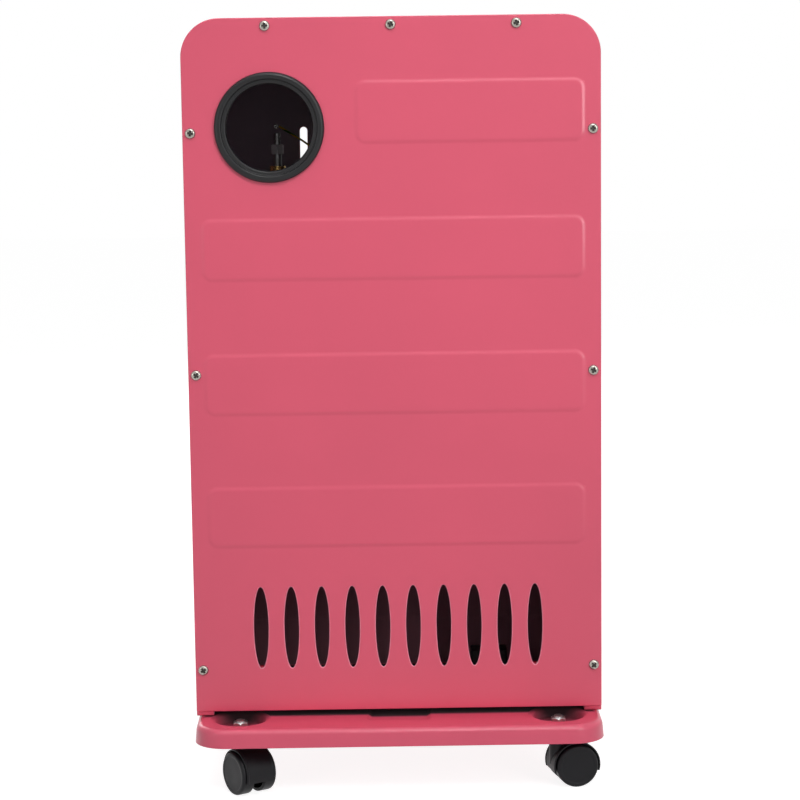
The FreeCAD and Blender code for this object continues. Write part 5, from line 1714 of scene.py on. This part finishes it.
@dataclass
class Control(SubAssembly):
    """Knob with a fluted wall and a finger grip, over a dial ring with a scale of strokes."""

    x: float = 108.0
    z: float = 535.0
    back: float = -101.5
    length: float = 14.0
    skirt: float = 19.0
    skirt_height: float = 3.0
    wall: float = 16.4
    top: float = 15.4
    bore: float = 4.02
    bore_depth: float = 10.9
    bite: float = 0.3
    skirt_inset: float = 1.0
    wall_bite: float = 0.5
    top_round: float = 1.2
    top_flat: float = 3.0
    flutes: int = 30
    flute_depth: float = 0.55
    flute_points: int = 10
    grip_half: float = 4.0
    grip_reach: float = 14.5
    grip_height: float = 5.8
    grip_draft: float = 0.8
    grip_round: float = 0.9
    grip_flat: float = 2.2
    mark_half: float = 0.8
    mark_inset: float = 3.0
    mark_rise: float = 0.2
    dial: float = 24.0
    dial_bore: float = 9.0
    dial_sheet: float = 0.8
    strokes: int = 8
    stroke_step: float = 30.0
    stroke_half: float = 1.3
    stroke_inset: float = 2.4
    stroke_start: float = 0.35
    stroke_growth: float = 0.08
    stroke_sink: float = 0.1
    stroke_rise: float = 0.15

    def build(self) -> None:
        """Build the knob and its dial."""
        self.build_knob()
        self.build_dial()

    def build_knob(self) -> None:
        """Turn the skirt, carry the fluted wall up from it, and raise the grip and its mark on the end."""
        skin = Skin(Plane((self.x, self.back, self.z), out=FORWARD))
        skin.turned(profile([(self.wall - self.skirt_inset, self.skirt_height, 0.0),
                             (self.skirt, self.skirt_height, 0.9), (self.skirt, 0.0, 0.3),
                             (self.bore, 0.0, 0.0), (self.bore, self.bore_depth, 0.0),
                             (0.0, self.bore_depth, 0.0)]))
        turn = whole_turn(self.flutes * self.flute_points)
        around = directions(turn)
        groove = (0.5 - 0.5 * np.cos(self.flutes * turn)) ** 2
        ripple = Path(around * (-self.flute_depth * groove)[:, None], around)
        skin.raised(ripple, profile([(self.wall, self.skirt_height - self.wall_bite, 0.0),
                                     (self.top, self.length, self.top_round),
                                     (self.top - self.top_flat, self.length, 0.0)]))
        base = self.length - self.bite
        rise = base + self.grip_height
        grip = rounded_box(-self.grip_half, self.grip_half, -self.grip_reach, self.grip_reach,
                           self.grip_half - SLIVER)
        skin.raised(grip, profile([(self.bite, base, 0.0), (0.0, base + self.bite, 0.0),
                                   (-self.grip_draft, rise, self.grip_round), (-self.grip_flat, rise, 0.0)]))
        mark = rounded_box(-self.mark_half, self.mark_half, self.mark_inset,
                           self.grip_reach - self.mark_inset, self.mark_half - SLIVER, 5)
        crest = rise + self.mark_rise
        edge = profile([(0.0, rise - self.mark_rise, 0.0), (0.0, crest, 0.15), (-0.3, crest, 0.0)])
        skin.raised(mark, edge, Tone.MARK)
        knob = skin.piece("knob_moulding")
        self.body = "knob"
        self.settle(knob, "control_knob", CONTROL_PLASTIC, MARK_PAINT)

    def build_dial(self) -> None:
        """Turn the dial ring, and set a stroke on it for each step of the knob."""
        skin = Skin(Plane((self.x, -PANEL_Y, self.z), out=FORWARD))
        section = profile([(self.dial_bore, 0.0, 0.0), (self.dial_bore, self.dial_sheet, 0.2),
                           (self.dial, self.dial_sheet, 0.6), (self.dial, 0.0, 0.0)])
        skin.turned(np.concatenate([section, section[:1]]))
        away = self.dial - self.stroke_inset
        crest = self.dial_sheet + self.stroke_rise
        edge = profile([(0.0, self.dial_sheet - self.stroke_sink, 0.0), (0.0, crest, 0.1),
                        (-0.2, crest, 0.0)], 2)
        for index in range(self.strokes):
            half = self.stroke_start + self.stroke_growth * index
            angle = math.radians(90.0 - self.stroke_step * index)
            stroke = rounded_box(-self.stroke_half, self.stroke_half, -half, half, 0.3, 3)
            placed = stroke.turned(angle, away * math.cos(angle), away * math.sin(angle))
            skin.raised(placed, edge, Tone.MARK)
        dial = skin.piece("dial_ring")
        self.body = "cabinet"
        self.settle(dial, "dial_bezel", CONTROL_PLASTIC, MARK_PAINT)


@dataclass
class Igniter(SubAssembly):
    """Push-button spark generator: a flanged barrel in the front panel and its domed button."""

    x: float = 58.0
    z: float = 535.0
    face: float = 2.0
    flange: float = 13.0
    barrel: float = 10.5
    depth: float = 53.0
    bore: float = 8.55
    bore_depth: float = 20.0
    button: float = 8.5
    button_front: float = 10.0
    button_back: float = -12.5
    dish: float = 0.7
    dish_inset: float = 3.0
    dish_lip: float = 0.2

    def build(self) -> None:
        """Turn the barrel and the button."""
        plane = Plane((self.x, -PANEL_Y, self.z), out=FORWARD)
        barrel = profile([(0.0, -self.bore_depth, 0.0), (self.bore, -self.bore_depth, 0.0),
                          (self.bore, self.face, 0.4), (self.flange, self.face, 1.4), (self.flange, 0.0, 0.0),
                          (self.barrel, 0.0, 0.0), (self.barrel, -self.depth, 0.8), (0.0, -self.depth, 0.0)])
        self.turn_piece("igniter_barrel", "igniter_body", CONTROL_PLASTIC, Skin(plane), barrel)
        button = profile([(0.0, self.button_front - self.dish, 0.0),
                          (self.button - self.dish_inset, self.button_front - self.dish_lip, 2.0),
                          (self.button, self.button_front, 1.8), (self.button, self.button_back, 0.4),
                          (0.0, self.button_back, 0.0)])
        self.body = "igniter_plunger"
        self.turn_piece("igniter_cap", "igniter_button", CONTROL_PLASTIC, Skin(plane), button)


# Studio


WHITE = (1.0, 1.0, 1.0, 1.0)


@dataclass(frozen=True)
class Lamp:
    """A soft box lamp that looks at a point of the object."""

    name: str
    place: Triple
    target: Triple
    size: float
    power: float
    spread: float = 180.0
    tall: float = 1.0

    def hang(self) -> None:
        """Make the lamp."""
        data = bpy.data.lights.new(self.name, "AREA")
        data.shape = "RECTANGLE"
        data.size = self.size
        data.size_y = self.size * self.tall
        data.energy = self.power
        data.spread = math.radians(self.spread)
        item = bpy.data.objects.new(self.name, data)
        item.location = self.place
        item.rotation_euler = (Vector(self.target) - Vector(self.place)).to_track_quat("-Z", "Y").to_euler()
        bpy.context.scene.collection.objects.link(item)


@dataclass
class Studio:
    """White sweep, soft lamps and the camera of the photograph."""

    lens: float = 108.59
    sensor: float = 36.0
    sight: float = 100.0
    place: Triple = (0.01304, 2.295, 0.67763)
    yaw: float = 0.0079063
    pitch: float = 0.1413705
    roll: float = -0.0129079
    sky: float = 0.28
    floor_half: float = 7.0
    floor_drop: float = 0.3
    floor_roughness: float = 0.9
    floor_tone: float = 0.40
    floor_glow: float = 0.88
    lamps: tuple[Lamp, ...] = (
        Lamp("key", (-0.28, 1.60, 1.86), (0.0, 0.095, 0.50), size=0.7, power=0.88, spread=34.0),
        Lamp("top", (0.1, 0.75, 2.3), (0.0, 0.05, 0.3), size=1.6, power=10.0),
        Lamp("right_strip", (-1.04, 1.56, 0.98), (-0.15, 0.095, 0.50), size=0.28, power=10.6, tall=4.5),
        Lamp("left_strip", (1.25, 1.35, 0.60), (0.05, 0.095, 0.45), size=0.5, power=0.3, spread=60.0),
        Lamp("front", (0.6, -2.6, 1.6), (0.0, 0.0, 0.4), size=1.8, power=38.0),
    )

    def build(self) -> None:
        """Set up the world, the floor, the lamps and the camera."""
        bpy.context.scene.view_settings.view_transform = "Standard"
        self.light_world()
        self.lay_floor()
        for lamp in self.lamps:
            lamp.hang()
        self.aim_camera()

    def light_world(self) -> None:
        """Light evenly from all round, and look white to the camera and in gloss."""
        world = bpy.data.worlds.new("studio")
        bpy.context.scene.world = world
        world.use_nodes = True
        tree = Tree(world.node_tree)
        level = tree.add("ShaderNodeMapRange", {"Value": tree.seen_rays(), "To Min": self.sky, "To Max": 1.0})
        tree.feed(world.node_tree.nodes["Background"], {"Strength": level.outputs["Result"], "Color": WHITE})

    def lay_floor(self) -> None:
        """Lay a pale floor that looks white, and keeps the object's soft shadow."""
        skin = Skin(level_plane(-self.floor_drop))
        half = self.floor_half / MM
        skin.flat(rounded_box(-half, half, -half, half, 1.0, 2).points)
        floor = skin.piece("studio_floor", UP)
        graph = Graph("pale_floor")
        glow = graph.calculate("MULTIPLY", graph.seen_rays(), self.floor_glow)
        graph.feed(graph.shader, {"Base Color": (self.floor_tone, self.floor_tone, self.floor_tone, 1.0),
                                  "Roughness": self.floor_roughness, "Specular IOR Level": 0.0,
                                  "Emission Color": WHITE, "Emission Strength": glow})
        floor.data.materials.append(graph.material)

    def aim_camera(self) -> None:
        """Stand the camera behind the heater, a little above it and turned as in the photograph."""
        data = bpy.data.cameras.new("photo_camera")
        data.lens = self.lens
        data.sensor_width = self.sensor
        data.clip_end = self.sight
        camera = bpy.data.objects.new("photo_camera", data)
        reach = math.cos(self.pitch)
        forward = Vector((-math.sin(self.yaw) * reach, -math.cos(self.yaw) * reach, -math.sin(self.pitch)))
        level = Vector((-math.cos(self.yaw), math.sin(self.yaw), 0.0))
        upright = level.cross(forward)
        right = level * math.cos(self.roll) + upright * math.sin(self.roll)
        up = upright * math.cos(self.roll) - level * math.sin(self.roll)
        turn = Matrix((right, up, -forward)).transposed()
        camera.matrix_world = Matrix.Translation(self.place) @ turn.to_4x4()
        bpy.context.scene.collection.objects.link(camera)
        bpy.context.scene.camera = camera


# The heater


SCREW_SPOTS = [(0.0, 706.6)] + [(side * x, z) for side in (1.0, -1.0)
                                for x, z in ((113.5, 706.6), (182.6, 112.0), (182.6, 390.0), (182.6, 611.0))]
CASTOR_ANGLES = {"rear_right": 33.5, "rear_left": 103.0, "front_right": 205.0, "front_left": 150.0}
NODE_FINISHES: tuple[tuple[Finish, tuple[str, ...]], ...] = (
    (ZINC, ("casing_screws", "casing_spacers", "castor_stems", "guard_clips", "spindle_collar",
            "valve_spindle", "front_left_axle", "front_right_axle", "rear_left_axle", "rear_right_axle")),
    (GALVANISED, ("heat_shield", "manifold_brackets", "valve_bracket", "pilot_bracket", "burner_trays")),
    (REFLECTOR_STEEL, ("burner_reflector",)),
    (CERAMIC, ("spark_electrode",)),
    (BRASS, ("inlet_elbow", "injectors", "pilot_burner", "thermocouple", "pilot_pipe", "thermocouple_lead")),
    (CAST_ALUMINIUM, ("valve_body", "gas_manifold", "feed_pipe", "mixing_tubes")),
    (LEAD_SLEEVE, ("ignition_lead",)),
    (SWITCH_PLASTIC, ("tilt_switch",)),
)


def castors() -> list[Castor]:
    """Describe the four castors, each turned to its own rest angle."""
    return [Castor("", name, CASTOR_X if "right" in name else -CASTOR_X,
                   CASTOR_Y if "rear" in name else -CASTOR_Y, angle)
            for name, angle in CASTOR_ANGLES.items()]


def main() -> None:
    """Build every sub-assembly in order, dress the nodes that stay and set up the studio."""
    logging.basicConfig(level=logging.INFO, format="%(name)s: %(message)s")
    groups: list[SubAssembly] = [
        Casing("cabinet"), BackPanel("cabinet"), FrontPanel("cabinet"), Grommet("cabinet"),
        Screws("cabinet", "back_panel_screws", BACK, SCREW_SPOTS),
        Screws("cabinet", "front_panel_screws", FRONT, SCREW_SPOTS),
        Screws("cabinet", "earth_screw", Plane((0.0, -94.0, 0.0)), [(112.8, 611.0)], ZINC, radius=2.5,
               height=2.3, round_over=1.0, shank=1.2, length=0.5, recess_length=3.0, recess_width=0.8,
               recess_depth=0.9),
        BaseTray("cabinet"), StemNuts("cabinet"), *castors(), GasInlet("cabinet"), EarthWire("cabinet"),
        Guard("cabinet"), Plaques("cabinet"), Control("cabinet"), Igniter("cabinet")]
    for group in groups:
        group.build()
    for finish, nodes in NODE_FINISHES:
        for node in nodes:
            dress_node(node, finish)
    Studio().build()


if __name__ == "__main__":
    main()
